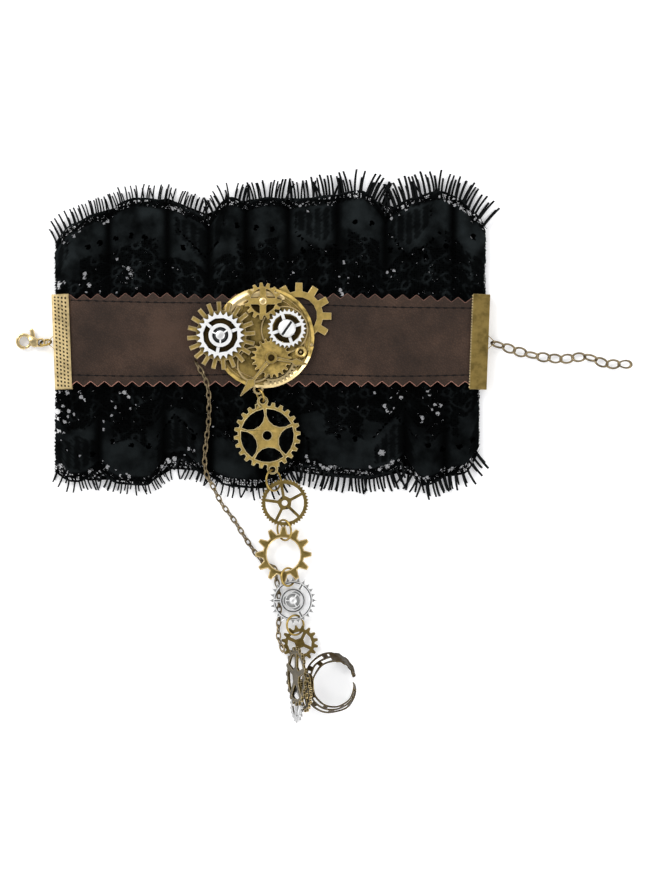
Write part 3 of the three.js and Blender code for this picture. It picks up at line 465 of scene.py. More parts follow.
def merged_copy(node, name, flat=True):
    """A copy of a frame node with its loose triangles joined, and merged into flat faces if asked."""
    obj = in_scene(name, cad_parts[node].data.copy())
    obj.data.name = name
    edit_all(obj)
    bpy.ops.mesh.remove_doubles(threshold=2e-6)
    if flat:
        bpy.ops.mesh.dissolve_limited(angle_limit=math.radians(0.6))
    leave_edit()
    return obj


def assign_selected(obj, index):
    """Gives the selected faces one of the piece's materials."""
    obj.active_material_index = index
    bpy.ops.object.material_slot_assign()


def sunk_face(obj, outline, depth):
    """Sinks the faces that look up inside a worn raised outline, with painted shade along its foot."""
    foot = 0.05 * MM
    choose_faces(obj, lambda face: face.normal.z > 0.99)
    assign_selected(obj, WORN)
    bpy.ops.mesh.inset(thickness=outline, depth=0, use_even_offset=True)
    # The outline's foot takes the recess finish: painted shade.
    assign_selected(obj, DEEP)
    bpy.ops.mesh.inset(thickness=foot, depth=-depth, use_even_offset=True)
    assign_selected(obj, FACE)
    leave_edit()


def cast(node, finish_set, bevel, outline=0.0, depth=0.14 * MM, wear_and_light=None, flat=True):
    """A cast or stamped metal piece: a copy of its node with worn edges and, where it has one, a raised
    outline round a sunk face. A face rule, when given, says which of its finishes each face has, such as a
    painted highlight or painted shade."""
    obj = merged_copy(node, node.replace("_", "-"), flat)
    coat(obj, finish_set)
    if wear_and_light:
        for face in obj.data.polygons:
            face.material_index = wear_and_light(face)
    if outline:
        sunk_face(obj, outline, depth)
    smooth(obj, SHARP)
    apply(obj, "BEVEL", width=bevel, segments=2, limit_method="ANGLE", angle_limit=math.radians(SHARP),
          material=WORN, use_clamp_overlap=True, harden_normals=True)
    finish(obj, None, (node,))


# Materials

def node_group(name, inputs, outputs):
    """An empty shader node group with these sockets: the group, what it is given and what it gives."""
    group = bpy.data.node_groups.new(name, "ShaderNodeTree")
    for label, value in inputs:
        socket = group.interface.new_socket(name=label, in_out="INPUT", socket_type="NodeSocketFloat")
        socket.default_value = value
    for label in outputs:
        group.interface.new_socket(name=label, in_out="OUTPUT", socket_type="NodeSocketFloat")
    return group, group.nodes.new("NodeGroupInput").outputs, group.nodes.new("NodeGroupOutput").inputs


def texture(group, kind, scale, **values):
    """A texture of a group, in the piece's own space, with its scale from one of the group's sockets."""
    place = group.nodes.get("place") or group.nodes.new("ShaderNodeTexCoord")
    place.name = "place"
    node = group.nodes.new("ShaderNodeTex" + kind)
    group.links.new(place.outputs["Object"], node.inputs["Vector"])
    group.links.new(scale, node.inputs["Scale"])
    for label, value in values.items():
        node.inputs[label].default_value = value
    return node


def math_node(tree, operation, *values):
    """A Math node fed by sockets."""
    node = tree.nodes.new("ShaderNodeMath")
    node.operation = operation
    for socket, value in zip(node.inputs, values):
        tree.links.new(value, socket)
    return node.outputs[0]


def spread(tree, value, low, high, start=0.0, stop=1.0):
    """Takes a value that goes from start to stop, and makes it go from low to high."""
    node = tree.nodes.new("ShaderNodeMapRange")
    for label, number in (("From Min", start), ("From Max", stop), ("To Min", low), ("To Max", high)):
        node.inputs[label].default_value = number
    tree.links.new(value, node.inputs["Value"])
    return node.outputs["Result"]


def tarnish_and_shade_group():
    """Blotches and fine pits of handled metal, and how open each place is, for painted shade in corners."""
    group, given, result = node_group(
        "tarnish_and_shade", (("Blotch Scale", 260.0), ("Pit Scale", 2600.0), ("Reach", 0.0018)),
        ("Blotches", "Pits", "Unoccluded"))
    blotches = texture(group, "Noise", given["Blotch Scale"], Detail=5, Roughness=0.62)
    pits = texture(group, "Noise", given["Pit Scale"], Detail=2)
    # Ambient occlusion: how open each place is, which the metals use to paint shade into corners and recesses.
    shelter = group.nodes.new("ShaderNodeAmbientOcclusion")
    shelter.samples = 8
    group.links.new(given["Reach"], shelter.inputs["Distance"])
    group.links.new(blotches.outputs["Fac"], result["Blotches"])
    group.links.new(pits.outputs["Fac"], result["Pits"])
    group.links.new(shelter.outputs["AO"], result["Unoccluded"])
    return group


def grain_group():
    """The cells and creases of leather."""
    group, given, result = node_group("leather_grain", (("Cell Scale", 900.0), ("Crease Scale", 45.0)),
                                      ("Cells", "Creases"))
    cells = texture(group, "Voronoi", given["Cell Scale"])
    cells.feature = "DISTANCE_TO_EDGE"
    creases = texture(group, "Noise", given["Crease Scale"], Detail=6, Roughness=0.6)
    group.links.new(spread(group, cells.outputs["Distance"], 0, 1, stop=0.22), result["Cells"])
    group.links.new(creases.outputs["Fac"], result["Creases"])
    return group


def weave_group():
    """Fine threads that cross, and the soft patches of cloth that is gathered unevenly."""
    group, given, result = node_group("fine_weave", (("Thread Scale", 900.0), ("Patch Scale", 110.0)),
                                      ("Threads", "Patches"))
    heights = []
    for direction in ("X", "Y"):
        wave = texture(group, "Wave", given["Thread Scale"], Distortion=1.6, Detail=1)
        wave.bands_direction = direction
        heights.append(wave.outputs["Fac"])
    group.links.new(math_node(group, "MULTIPLY", *heights), result["Threads"])
    patches = texture(group, "Noise", given["Patch Scale"], Detail=4)
    group.links.new(patches.outputs["Fac"], result["Patches"])
    return group


def shared_group(name):
    """A shared effect, made the first time that it is asked for."""
    makers = {"tarnish_and_shade": tarnish_and_shade_group, "leather_grain": grain_group, "fine_weave": weave_group}
    return bpy.data.node_groups.get(name) or makers[name]()


def blank_material(name):
    """A new material, with its tree and its shader."""
    material = bpy.data.materials.new(name)
    material.use_nodes = True
    tree = material.node_tree
    return material, tree, tree.nodes["Principled BSDF"]


def effect(tree, name, **values):
    """A shared effect placed in a material with its own values."""
    node = tree.nodes.new("ShaderNodeGroup")
    node.node_tree = shared_group(name)
    for label, value in values.items():
        node.inputs[label.replace("_", " ").title()].default_value = value
    return node


def ramp(tree, factor, stops):
    """A colour ramp with (position, colour) stops."""
    node = tree.nodes.new("ShaderNodeValToRGB")
    elements = node.color_ramp.elements
    while len(elements) < len(stops):
        elements.new(0.5)
    for element, (position, colour) in zip(elements, stops):
        element.position = position
        element.color = (*colour, 1)
    tree.links.new(factor, node.inputs["Fac"])
    return node.outputs["Color"]


def bump(tree, shader, height, distance):
    node = tree.nodes.new("ShaderNodeBump")
    node.inputs["Distance"].default_value = distance
    node.inputs["Strength"].default_value = 1.0
    tree.links.new(height, node.inputs["Height"])
    tree.links.new(node.outputs["Normal"], shader.inputs["Normal"])


def shade(colour, factor):
    return tuple(min(1.0, part * factor) for part in colour)


def paint(tree, shader, factor, stops, gloss, roughness=None):
    """Colours a shader by a ramp, and sets how much it shines and, if given, how rough it is."""
    tree.links.new(ramp(tree, factor, stops), shader.inputs["Base Color"])
    shader.inputs["Specular IOR Level"].default_value = gloss
    if roughness:
        shader.inputs["Roughness"].default_value = roughness


def blend_colours(tree, factor, colour, painted):
    """Goes from a plain colour to a painted one as a value goes from 0 to 1."""
    first, second, mixed = 6, 7, 2  # the mix's colour sockets
    node = tree.nodes.new("ShaderNodeMix")
    node.data_type = "RGBA"
    tree.links.new(factor, node.inputs["Factor"])
    node.inputs[first].default_value = (*colour, 1)
    tree.links.new(painted, node.inputs[second])
    return node.outputs[mixed]


def metal(name, colour, roughness, contrast, shelter=0.12):
    """Handled metal: blotches darken its colour and dull its polish, and its corners, found by ambient
    occlusion, are darkened, partly as dirt and partly as painted shade; shelter is what is left of its colour
    there."""
    existing = bpy.data.materials.get(name)
    if existing:
        return existing
    material, tree, shader = blank_material(name)
    marks = effect(tree, "tarnish_and_shade", blotch_scale=240.0, pit_scale=2200.0, reach=2.4 * MM)
    mottled = ramp(tree, marks.outputs["Blotches"], (
        (0.32, shade(colour, 1 - contrast)), (0.52, colour), (0.7, shade(colour, 1 + contrast * 0.6)),
    ))
    # Painted shade, with dirt: the colour darkens toward its shelter share where ambient occlusion finds a
    # corner.
    open_to_light = spread(tree, marks.outputs["Unoccluded"], 0, 1, 0.25, 0.85)
    tree.links.new(blend_colours(tree, open_to_light, shade(colour, shelter), mottled), shader.inputs["Base Color"])
    shader.inputs["Metallic"].default_value = 1.0
    tree.links.new(spread(tree, marks.outputs["Blotches"], roughness + 0.1, roughness - 0.06),
                   shader.inputs["Roughness"])
    bump(tree, shader, marks.outputs["Pits"], 0.04 * MM)
    return material


def brass_set(finishes):
    """Brass on faces, on worn edges and in recesses, the last as painted shade."""
    return Metals(
        metal("brass_face", tuple(finishes.brass), 0.36, 0.45),
        metal("brass_worn_edge", tuple(finishes.brass_worn), 0.28, 0.2, shelter=0.3),
        metal("brass_recess", tuple(finishes.brass_dark), 0.5, 0.4),
    )


def silver_set(finishes):
    """Silver on faces, on worn edges and in recesses, the last as painted shade."""
    silver = tuple(finishes.silver)
    return Metals(
        metal("silver_face", silver, 0.5, 0.12, shelter=0.25),
        metal("silver_worn_edge", shade(silver, 1.05), 0.34, 0.06, shelter=0.5),
        metal("silver_recess", shade(silver, 0.07), 0.5, 0.3),
    )


def metals(context):
    """The sizes of metal pieces, the finishes, and the two sets of metals."""
    finishes = context.scene.armband_finishes
    return context.scene.armband_metal, finishes, brass_set(finishes), silver_set(finishes)


def leather_set(finishes):
    """Leather on its face, on its cut edge below and on its cut edge above, the same edge painted darker as
    painted shade.
    """
    face, tree, shader = blank_material("brown_leather")
    marks = effect(tree, "leather_grain", cell_scale=1100.0, crease_scale=38.0)
    tone = tuple(finishes.leather)
    mottled = math_node(tree, "ADD", marks.outputs["Creases"], spread(tree, marks.outputs["Cells"], -0.08, 0.05))
    paint(tree, shader, mottled, ((0.34, shade(tone, 0.55)), (0.5, tone), (0.66, shade(tone, 1.7))), 0.2)
    tree.links.new(spread(tree, marks.outputs["Creases"], 0.66, 0.46), shader.inputs["Roughness"])
    bump(tree, shader, math_node(tree, "ADD", marks.outputs["Cells"], marks.outputs["Creases"]), 0.08 * MM)
    cuts = []
    for name, tone in (("leather_cut_edge", tuple(finishes.cut_edge)),
                       ("leather_cut_edge_shaded", shade(finishes.cut_edge, 0.36))):
        cut, tree, shader = blank_material(name)
        marks = effect(tree, "leather_grain", cell_scale=1500.0, crease_scale=420.0)
        tree.links.new(ramp(tree, marks.outputs["Creases"], (
            (0.34, shade(tone, 0.4)), (0.5, shade(tone, 0.9)), (0.66, shade(tone, 1.25)),
        )), shader.inputs["Base Color"])
        shader.inputs["Roughness"].default_value = 0.85
        bump(tree, shader, marks.outputs["Cells"], 0.05 * MM)
        cuts.append(cut)
    return face, *cuts


def lace_material(name, finishes, level):
    """Black lace: paler where the cloth is solid and darker in the painted shade of its fold valleys, as its
    colour attribute says.
    """
    material, tree, shader = blank_material(name)
    dense_and_shade = tree.nodes.new("ShaderNodeAttribute")
    dense_and_shade.attribute_name = "dense_and_shade"
    tone = shade(finishes.lace, level)
    threads = effect(tree, "fine_weave", thread_scale=700.0)
    patchy = spread(tree, threads.outputs["Patches"], -0.7, 2.1)
    uneven = math_node(tree, "MULTIPLY", dense_and_shade.outputs["Fac"], patchy)
    stops = (0.0, shade(tone, 0.06)), (0.3, shade(tone, 0.35)), (1.0, shade(tone, 1.6))
    paint(tree, shader, uneven, stops, 0.02, 0.9)
    bump(tree, shader, threads.outputs["Threads"], 0.12 * MM)
    return material


def thread_material(name, colour):
    material, tree, shader = blank_material(name)
    threads = effect(tree, "fine_weave", thread_scale=2200.0)
    paint(tree, shader, threads.outputs["Threads"], ((0.0, shade(colour, 0.6)), (1.0, colour)), 0.1, 0.85)
    bump(tree, shader, threads.outputs["Threads"], 0.05 * MM)
    return material


# Gathered lace

def between(knots, x, column):
    """A column of a table at x: sharp at the low rows and round at the high ones."""
    places = np.array([row[0] for row in knots], dtype=float)
    values = np.array([row[column] for row in knots], dtype=float)
    i = np.clip(np.searchsorted(places, x) - 1, 0, len(places) - 2)
    share = np.clip((x - places[i]) / (places[i + 1] - places[i]), 0, 1)
    low = np.minimum(values[i], values[i + 1])
    high = np.maximum(values[i], values[i + 1])
    climb = np.where(values[i] < values[i + 1], share, 1 - share)
    return low + (high - low) * np.sin(climb * math.pi / 2) ** 0.9


def even(knots, x):
    """The second column of a table at x, on straight lines between its rows."""
    return np.interp(x, [row[0] for row in knots], [row[1] for row in knots])


def fold_profile(out):
    """How much of a fold's lift there is, from the seam out to the edge."""
    return np.interp(out, (0, 0.12, 0.32, 0.74, 1), (0, 0.16, 0.62, 1, 0.72))


def front_height(folds, x, out):
    """Height of a front layer's middle, in millimetres: sewn up against the leather, then gathered."""
    gathers = np.sin(x * 1.75 + 2.2 * np.sin(x * 0.31)) * 0.34 * np.exp(-((out - 0.05) / 0.34) ** 2)
    creases = np.sin(x * 0.9 + out * 3.1 + 1.4 * np.sin(x * 0.23)) * 0.32 * out
    sewn = np.clip(1 - out / 0.09, 0, 1)
    return (FRONT_HEIGHT + between(folds, x, 2) * fold_profile(out) + gathers * (1 - sewn) + creases
            + 1.2 * sewn)


def back_height(x, out):
    return BACK_HEIGHT + 0.16 * np.sin(x * 0.61 + out * 2.4) + 0.12 * np.sin(x * 1.3)


def motif(knots, x, from_edge):
    """What the lace is at a place: from 0 for net to 1 for solid cloth."""
    phase = float(even(knots, x))
    from_point = abs(phase - round(phase))
    from_arch = 0.5 - from_point
    arm = 21 - from_point * 37
    arm_half = 1.5
    if from_edge < 0.8:  # hem
        return 0.7
    if from_edge < 3.7:  # open border
        return 0.0
    if from_edge < 5.2:  # band above it
        return 0.8
    if from_point < 0.27 and abs(from_edge - arm) < arm_half:  # arms of a V
        return 0.9
    if from_point < 0.19 and from_edge < arm - arm_half:  # bars within it
        return 0.3 if math.floor(x / CELL) % 4 else 0.75
    if from_arch < 0.3 and from_edge < 19.5 - 20 * from_arch:  # arches
        return 0.85
    if arm + arm_half <= from_edge < 27 - 14 * from_arch and from_point < 0.32:  # cloth above a V
        return 0.7
    across, up = 8.6, 7.8  # pitch of the small flowers
    if 1.2 < math.hypot((x % across) - across / 2, (from_edge % up) - up / 2) < 2.2:
        return 0.8
    if abs(math.sin(0.36 * x + 1.5 * math.sin(0.45 * from_edge))) < 0.16:  # winding stems
        return 0.7
    return 0.0


def eyelets(large, rows, openings):
    """Every hole as (along, across, radius): an eyelet's is 0, and the small ones stand in V rows."""
    pitch, radius = 1.8, 0.62
    found = [(x, y, 0) for x, y in large] + list(openings)
    for first, point, last in rows:
        for end in (first, last):
            run, rise = end[0] - point[0], end[1] - point[1]
            steps = round(math.hypot(run, rise) / pitch)
            found += [(point[0] + run * i / steps, point[1] + rise * i / steps, radius)
                      for i in range(steps + 1)]
    return found


def valley(folds, x):
    """How deep in a fold a place is, from 0 on its hill to 1 in its valley."""
    low = np.array([fold[0] for fold in folds if fold[2] < 0.7])
    return np.exp(-((x[:, None] - low[None, :]) / 2.1) ** 2).max(axis=1)


NET, FINE, GONE = 1, 2, 3  # kinds of cells: wide openings, fine openings and none at all
STRAYS = 0.06  # share of the lashes that stand out from their row


def lace_layer(name, sizes, ends, edge, height, cell_kind, tone_at, holes, side, seed):
    """A layer of lace: a grid drawn out to the scalloped edge, its eyelets and net cells cut through,
    laid in folds and given its thickness."""
    left, right = ends
    columns = round((right - left) * MM / sizes.cell)
    rows = round(LACE_DEPTH * MM / sizes.cell)
    obj = grid(name, columns, rows)
    wander = np.random.default_rng(seed).normal(0, 0.15, (len(obj.data.vertices), 2))

    def spread_out(points):
        along = points[:, 0] + 0.5
        out = points[:, 1] + 0.5
        # Every other row of cells is set off by half a cell, and the points within wander a little.
        odd = np.round(out * rows) % 2 == 1
        x = left + (right - left) * along + np.where(odd, 0.25, -0.25) * sizes.cell / MM
        inner = (out > 0.001) & (out < 0.999)
        x = x + wander[:, 0] * inner
        y = SEAM + (edge(x) - SEAM) * out + wander[:, 1] * inner
        # Points near the rim of a hole are drawn onto it.
        for cx, cy, radius in holes:
            radius = radius or sizes.eyelet / MM
            dx, dy = x - cx, y - cy * side
            gap = np.maximum(np.hypot(dx, dy), 0.05)
            snap = np.abs(gap - radius) < min(0.55 * sizes.cell / MM, 0.7 * radius)
            x = np.where(snap, cx + dx / gap * radius, x)
            y = np.where(snap, cy * side + dy / gap * radius, y)
        return np.column_stack((MIDDLE.x + x * MM, MIDDLE.y + side * y * MM, np.zeros(len(x))))

    shape(obj, spread_out)

    def kind_of(face):
        x = (face.center.x - MIDDLE.x) / MM
        y = (face.center.y - MIDDLE.y) / MM
        if any(math.hypot(x - cx, y - cy) < 0.86 * (radius or sizes.eyelet / MM) for cx, cy, radius in holes):
            return GONE
        return cell_kind(x, abs(y), float(edge(x)) - abs(y))

    kinds = obj.data.attributes.new("cell_kind", "INT", "FACE")
    kinds.data.foreach_set("value", [kind_of(face) for face in obj.data.polygons])
    for kind, thread in ((GONE, 0), (NET, sizes.thread), (FINE, sizes.fine_thread)):
        choose_faces(obj, lambda face: obj.data.attributes["cell_kind"].data[face.index].value == kind)
        if thread:
            bpy.ops.mesh.inset(thickness=thread, depth=0, use_individual=True, use_even_offset=False)
        bpy.ops.mesh.delete(type="FACE")
        leave_edit()
    obj.data.attributes.remove(obj.data.attributes["cell_kind"])

    spots = np.array([(vertex.co.x, vertex.co.y) for vertex in obj.data.vertices])
    xs = (spots[:, 0] - MIDDLE.x) / MM
    ys = np.abs(spots[:, 1] - MIDDLE.y) / MM
    reaches = edge(xs)
    outs = np.clip((ys - SEAM) / (reaches - SEAM), 0, 1.02)
    tones = tone_at(xs, reaches - ys, outs)
    # The colour attribute holds how solid the weave is and the painted shade of the fold valleys.
    attribute = obj.data.attributes.new("dense_and_shade", "FLOAT", "POINT")
    attribute.data.foreach_set("value", tones)

    def lay(points):
        points = points.copy()
        points[:, 2] = (height(xs, outs) + 0.2 * tones) * MM
        return points

    shape(obj, lay)
    apply(obj, "SOLIDIFY", thickness=sizes.cloth, offset=0)
    return obj


def lash_row(name, sizes, ends, edge, leaning, height, side, length, seed):
    """The lashes of a scalloped edge: one tapered thread, copied along the edge with its own lean."""
    chance = random.Random(seed)
    pick()
    bpy.ops.mesh.primitive_circle_add(vertices=6, radius=sizes.lash_radius, fill_type="NGON",
                                      rotation=(math.radians(-90), 0, 0))
    thread = new_piece(name + "-thread")
    bpy.ops.object.mode_set(mode="EDIT")
    bpy.ops.mesh.select_mode(type="FACE")
    bpy.ops.mesh.select_all(action="SELECT")
    steps, bow, droop = 5, 0.008, 0.006
    for step in range(steps):
        bpy.ops.mesh.extrude_region_move(TRANSFORM_OT_translate={
            "value": (bow * step * length, length / steps, droop * (2 - step) * length)})
        narrower = 0.95 if step == 0 else 0.97
        bpy.ops.transform.resize(value=(narrower, 1, narrower))
    leave_edit()
    outwards(thread)
    left, right = ends
    near, steepest = 2.5, 1.1
    places = []
    x = left + 0.6
    while x < right - 0.5:
        slope = float(leaning(np.array([x + near]))[0] - leaning(np.array([x - near]))[0]) / (2 * near)
        slope = max(-steepest, min(steepest, slope))
        corner = max(0, 1 - (right - x) / 7)
        size = chance.uniform(0.86, 1.08) * (0.95 + 0.18 * math.sin(0.03 * x) + 0.25 * corner)
        stray = chance.choice((-20, 20)) if chance.random() < STRAYS else chance.gauss(0, 2.5)
        lean = math.atan(slope) * 0.5 - 0.3 * corner + math.radians(stray)
        reach = float(edge(np.array([x]))[0]) - 0.6
        foot = at(x, side * reach, float(height(np.array([x]), np.array([1.0]))[0]))
        turn = Matrix.Rotation(lean * side, 4, "Z")
        flip = Matrix.Diagonal((-1 if lean > 0 else 1, side, 1, 1))
        sag = Matrix.Rotation(math.radians(chance.uniform(-6, 0)), 4, "X")
        places.append(Matrix.Translation(foot) @ turn @ flip @ sag @ Matrix.Scale(size, 4))
        pitch = sizes.lash_pitch / MM / math.hypot(1, slope)
        x += pitch * chance.uniform(0.7, 1.3) * (sizes.lash / length) ** 0.5
    rows = repeat(thread, places, name)
    lowest = np.array((-np.inf, -np.inf, 0.1 * MM))
    shape(rows, lambda points: np.maximum(points, lowest))
    outwards(rows)
    return rows


class ARMBAND_OT_lace(bpy.types.Operator):
    """Cuts and gathers the four layers of lace and sets lashes along their scalloped edges"""
    bl_idname = "armband.lace"
    bl_label = "Lace"

    def execute(self, context):
        sizes = context.scene.armband_lace
        finishes = context.scene.armband_finishes
        # One black lace in three brightnesses as painted light and shade: lightest on the upper side, darker on
        # the lower side, darkest on the layers behind.
        blacks = {"upper": lace_material("black_lace", finishes, 1.4),
                  "lower": lace_material("black_lace_below_shaded", finishes, 0.95)}
        back_black = lace_material("black_lace_behind_shaded", finishes, 0.3)
        fringe = thread_material("black_lash", shade(finishes.lace, 0.8))
        chance = random.Random(7)

        def front_kind(knots):
            def kind(x, y, from_edge):
                if motif(knots, x, from_edge) > 0.05:
                    return 0
                if from_edge < 4:
                    return FINE if chance.random() < 0.7 else 0
                return NET if chance.random() < 0.92 else 0
            return kind

        def back_kind(x, y, from_edge):
            if 0.8 < from_edge < 4.6:
                return FINE if chance.random() < 0.4 else 0
            return NET if chance.random() < 0.035 else 0

        sides = (
            ("upper", UPPER_FOLDS, UPPER_BACK, UPPER_MOTIF, UPPER_EYELETS, UPPER_ROWS, UPPER_OPENINGS, 1, 1),
            ("lower", LOWER_FOLDS, LOWER_BACK, LOWER_MOTIF, LOWER_EYELETS, LOWER_ROWS, LOWER_OPENINGS, -1, 0.72),
        )
        for word, folds, back_rows, knots, large, rows, openings, side, share in sides:
            front_edge = lambda x: between(folds, x, 1)
            back_edge = lambda x: even(back_rows, x)
            front_lift = lambda x, out: front_height(folds, x, out)

            def front_tone(xs, from_edge, outs):
                woven = np.array([max(0.2, motif(knots, x, e)) for x, e in zip(xs, from_edge)])
                # Fold valleys are painted darker: painted shade where the folds close.
                return woven * (1 - valley(folds, xs) * np.clip(2.2 * outs, 0, 1))

            front_ends = (folds[0][0], folds[-1][0])
            back_ends = (back_rows[0][0], back_rows[-1][0])
            front = lace_layer(f"lace-front-{word}", sizes, front_ends, front_edge, front_lift,
                               front_kind(knots), front_tone, eyelets(large, rows, openings), side, 11 + side)
            back = lace_layer(f"lace-behind-{word}", sizes, back_ends, back_edge, back_height, back_kind,
                              lambda xs, from_edge, outs: np.full(len(xs), 0.5), openings, side, 31 + side)
            finish(front, (blacks[word],), (f"lace_ruffle_{word}",))
            finish(back, (back_black,), (f"lace_back_{word}",))
            for kind, ends, edge, height, piece in (
                    ("front", front_ends, front_edge, front_lift, front),
                    ("behind", back_ends, back_edge, back_height, back)):
                lashes = lash_row(f"lashes-{kind}-{word}", sizes, ends, edge, front_edge, height, side,
                                  sizes.lash * share, 51 + side + len(kind))
                finish(lashes, (fringe,))
        return {"FINISHED"}


# Leather band and its stitching

STITCHED = 82.8  # how far the stitches reach from the middle to each side


class ARMBAND_OT_leather(bpy.types.Operator):
    """Cuts the pinked leather band and sews its two rows of stitches"""
    bl_idname = "armband.leather"
    bl_label = "Leather band"

    def execute(self, context):
        sizes = context.scene.armband_leather
        finishes = context.scene.armband_finishes
        pale, dark = 1, 2  # cut edges below and above
        band = merged_copy("leather_band", "pinked-leather")
        apply(band, "BEVEL", width=sizes.bevel, segments=3, limit_method="ANGLE",
              angle_limit=math.radians(60), material=pale, affect="EDGES")
        smooth(band, 50)
        finish(band, leather_set(finishes), ("leather_band",))
        # Side faces above the middle take the darker cut edge: painted shade.
        for face in band.data.polygons:
            if face.normal.z < 0.86:
                face.material_index = dark if face.center.y > MIDDLE.y else pale
        thread = thread_material("stitching_thread", (0.012, 0.012, 0.013))
        for word, y, slope, sway in (("upper", 15.8, -0.02, 0.2), ("lower", -13.6, 0, 0.45)):
            stitches = self.stitch_row(f"stitches-{word}", sizes, y, slope, sway)
            finish(stitches, (thread,))
        return {"FINISHED"}

    def stitch_row(self, name, sizes, y, slope, sway):
        """A row of stitches, each with its ends drawn down, on a line that slopes and sways a little."""
        pick()
        bpy.ops.mesh.primitive_cylinder_add(vertices=8, radius=sizes.stitch_radius, depth=sizes.stitch,
                                            rotation=(0, math.radians(90), 0))
        stitch = new_piece(name + "-thread")
        edit_all(stitch)
        bpy.ops.mesh.subdivide(number_cuts=3)
        leave_edit()
        half = sizes.stitch / 2

        def dip(points):
            points = points.copy()
            share = np.abs(points[:, 0]) / half
            points[:, 1:] *= (0.45 + 1.15 * share ** 4)[:, None]
            points[:, 2] -= 0.12 * MM * share ** 3
            return points

        shape(stitch, dip)
        inner = STITCHED * MM - half
        count = int(2 * inner / sizes.stitch_pitch)
        places = []
        for i in range(count + 1):
            x = -inner + i * 2 * inner / count
            offset = y + slope * x / MM + sway * math.cos(x / MM * 0.06)
            places.append(Matrix.Translation(at(x / MM, offset, LEATHER_TOP + 0.02)))
        row = repeat(stitch, places, name)
        outwards(row)
        smooth(row, 60)
        return row


# Clamps

class ARMBAND_OT_clamps(bpy.types.Operator):
    """Casts the two brass clamps, presses the left one's dimples and cuts the right one's teeth"""
    bl_idname = "armband.clamps"
    bl_label = "Clamps"

    def execute(self, context):
        sizes = context.scene.armband_metal
        finishes = context.scene.armband_finishes
        brass = brass_set(finishes)
        olive = metal("olive_brass", shade(finishes.brass, 0.62), 0.42, 0.5)
        bright = (metal("bright_brass", shade(finishes.brass_worn, 0.88), 0.42, 0.45), brass.worn, brass.deep)
        cast("clamp_left", bright, 0.32 * MM)
        cast("clamp_right", (olive, brass.worn, brass.deep), 0.32 * MM)
        self.dimpled_face(sizes, bright)
        self.inner_teeth((brass.worn,))
        return {"FINISHED"}

    def dimpled_face(self, sizes, brass):
        """The left clamp's upper face: a thin skin with slanting rows of dimples pressed in."""
        low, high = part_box("clamp_left")
        width, length = (CLAMP["deep"] - 0.5) * MM, high[1] - low[1] - 0.8 * MM
        columns = 2 * round(width / sizes.dimple_pitch) + 1
        rows = 2 * round(length / sizes.dimple_pitch / 1.1) + 1
        skin = grid("clamp-dimples", columns, rows)
        coat(skin, brass)

        def place(points):
            bulge = np.clip((np.abs(points[:, 0]) * 2 - 0.8) / 0.2, 0, 1)
            slant = -0.4 * width * points[:, 0] * (1 - (2 * np.abs(points[:, 1])) ** 6)
            return np.column_stack((
                points[:, 0] * width, points[:, 1] * length + slant,
                high[2] + 0.22 * MM - 0.14 * MM * bulge ** 2))

        spots = []
        for face in skin.data.polygons:
            column, row = grid_place(face, columns, rows)
            spots.append(column % 2 == 1 and row % 2 == 1)
        shape(skin, place)
        skin.data.transform(clamp_place(-1))
        choose_faces(skin, lambda face: spots[face.index])
        bpy.ops.mesh.inset(thickness=0.01 * MM, depth=0, use_individual=True)
        # The dimples take the recess finish: painted shade in them.
        assign_selected(skin, DEEP)
        bpy.ops.mesh.inset(thickness=0.08 * MM, depth=-0.2 * MM, use_individual=True)
        leave_edit()
        apply(skin, "SOLIDIFY", thickness=0.28 * MM, offset=-1)
        smooth(skin, 30)
        finish(skin)

    def inner_teeth(self, materials):
        """Fine teeth along the right clamp's inner edge."""
        low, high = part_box("clamp_right")
        pick()
        bpy.ops.mesh.primitive_cube_add(size=1)
        tooth = new_piece("clamp-tooth")
        choose_faces(tooth, lambda face: face.normal.x < -0.9)
        bpy.ops.mesh.inset(thickness=0.2, depth=0.25)
        leave_edit()
        pitch = 1.12 * MM
        half = (high[1] - low[1]) / 2 - 0.9 * MM
        count = int(2 * half / pitch)
        size = Matrix.Diagonal((0.7 * MM, 0.62 * MM, 0.62 * MM, 1))
        inner = (0.1 - CLAMP["deep"] / 2) * MM
        spots = [(inner, half * (2 * i / count - 1), high[2] - 0.45 * MM) for i in range(count + 1)]
        places = [clamp_place(1) @ Matrix.Translation(spot) @ size for spot in spots]
        finish(repeat(tooth, places, "clamp-teeth"), materials)


# Medallion

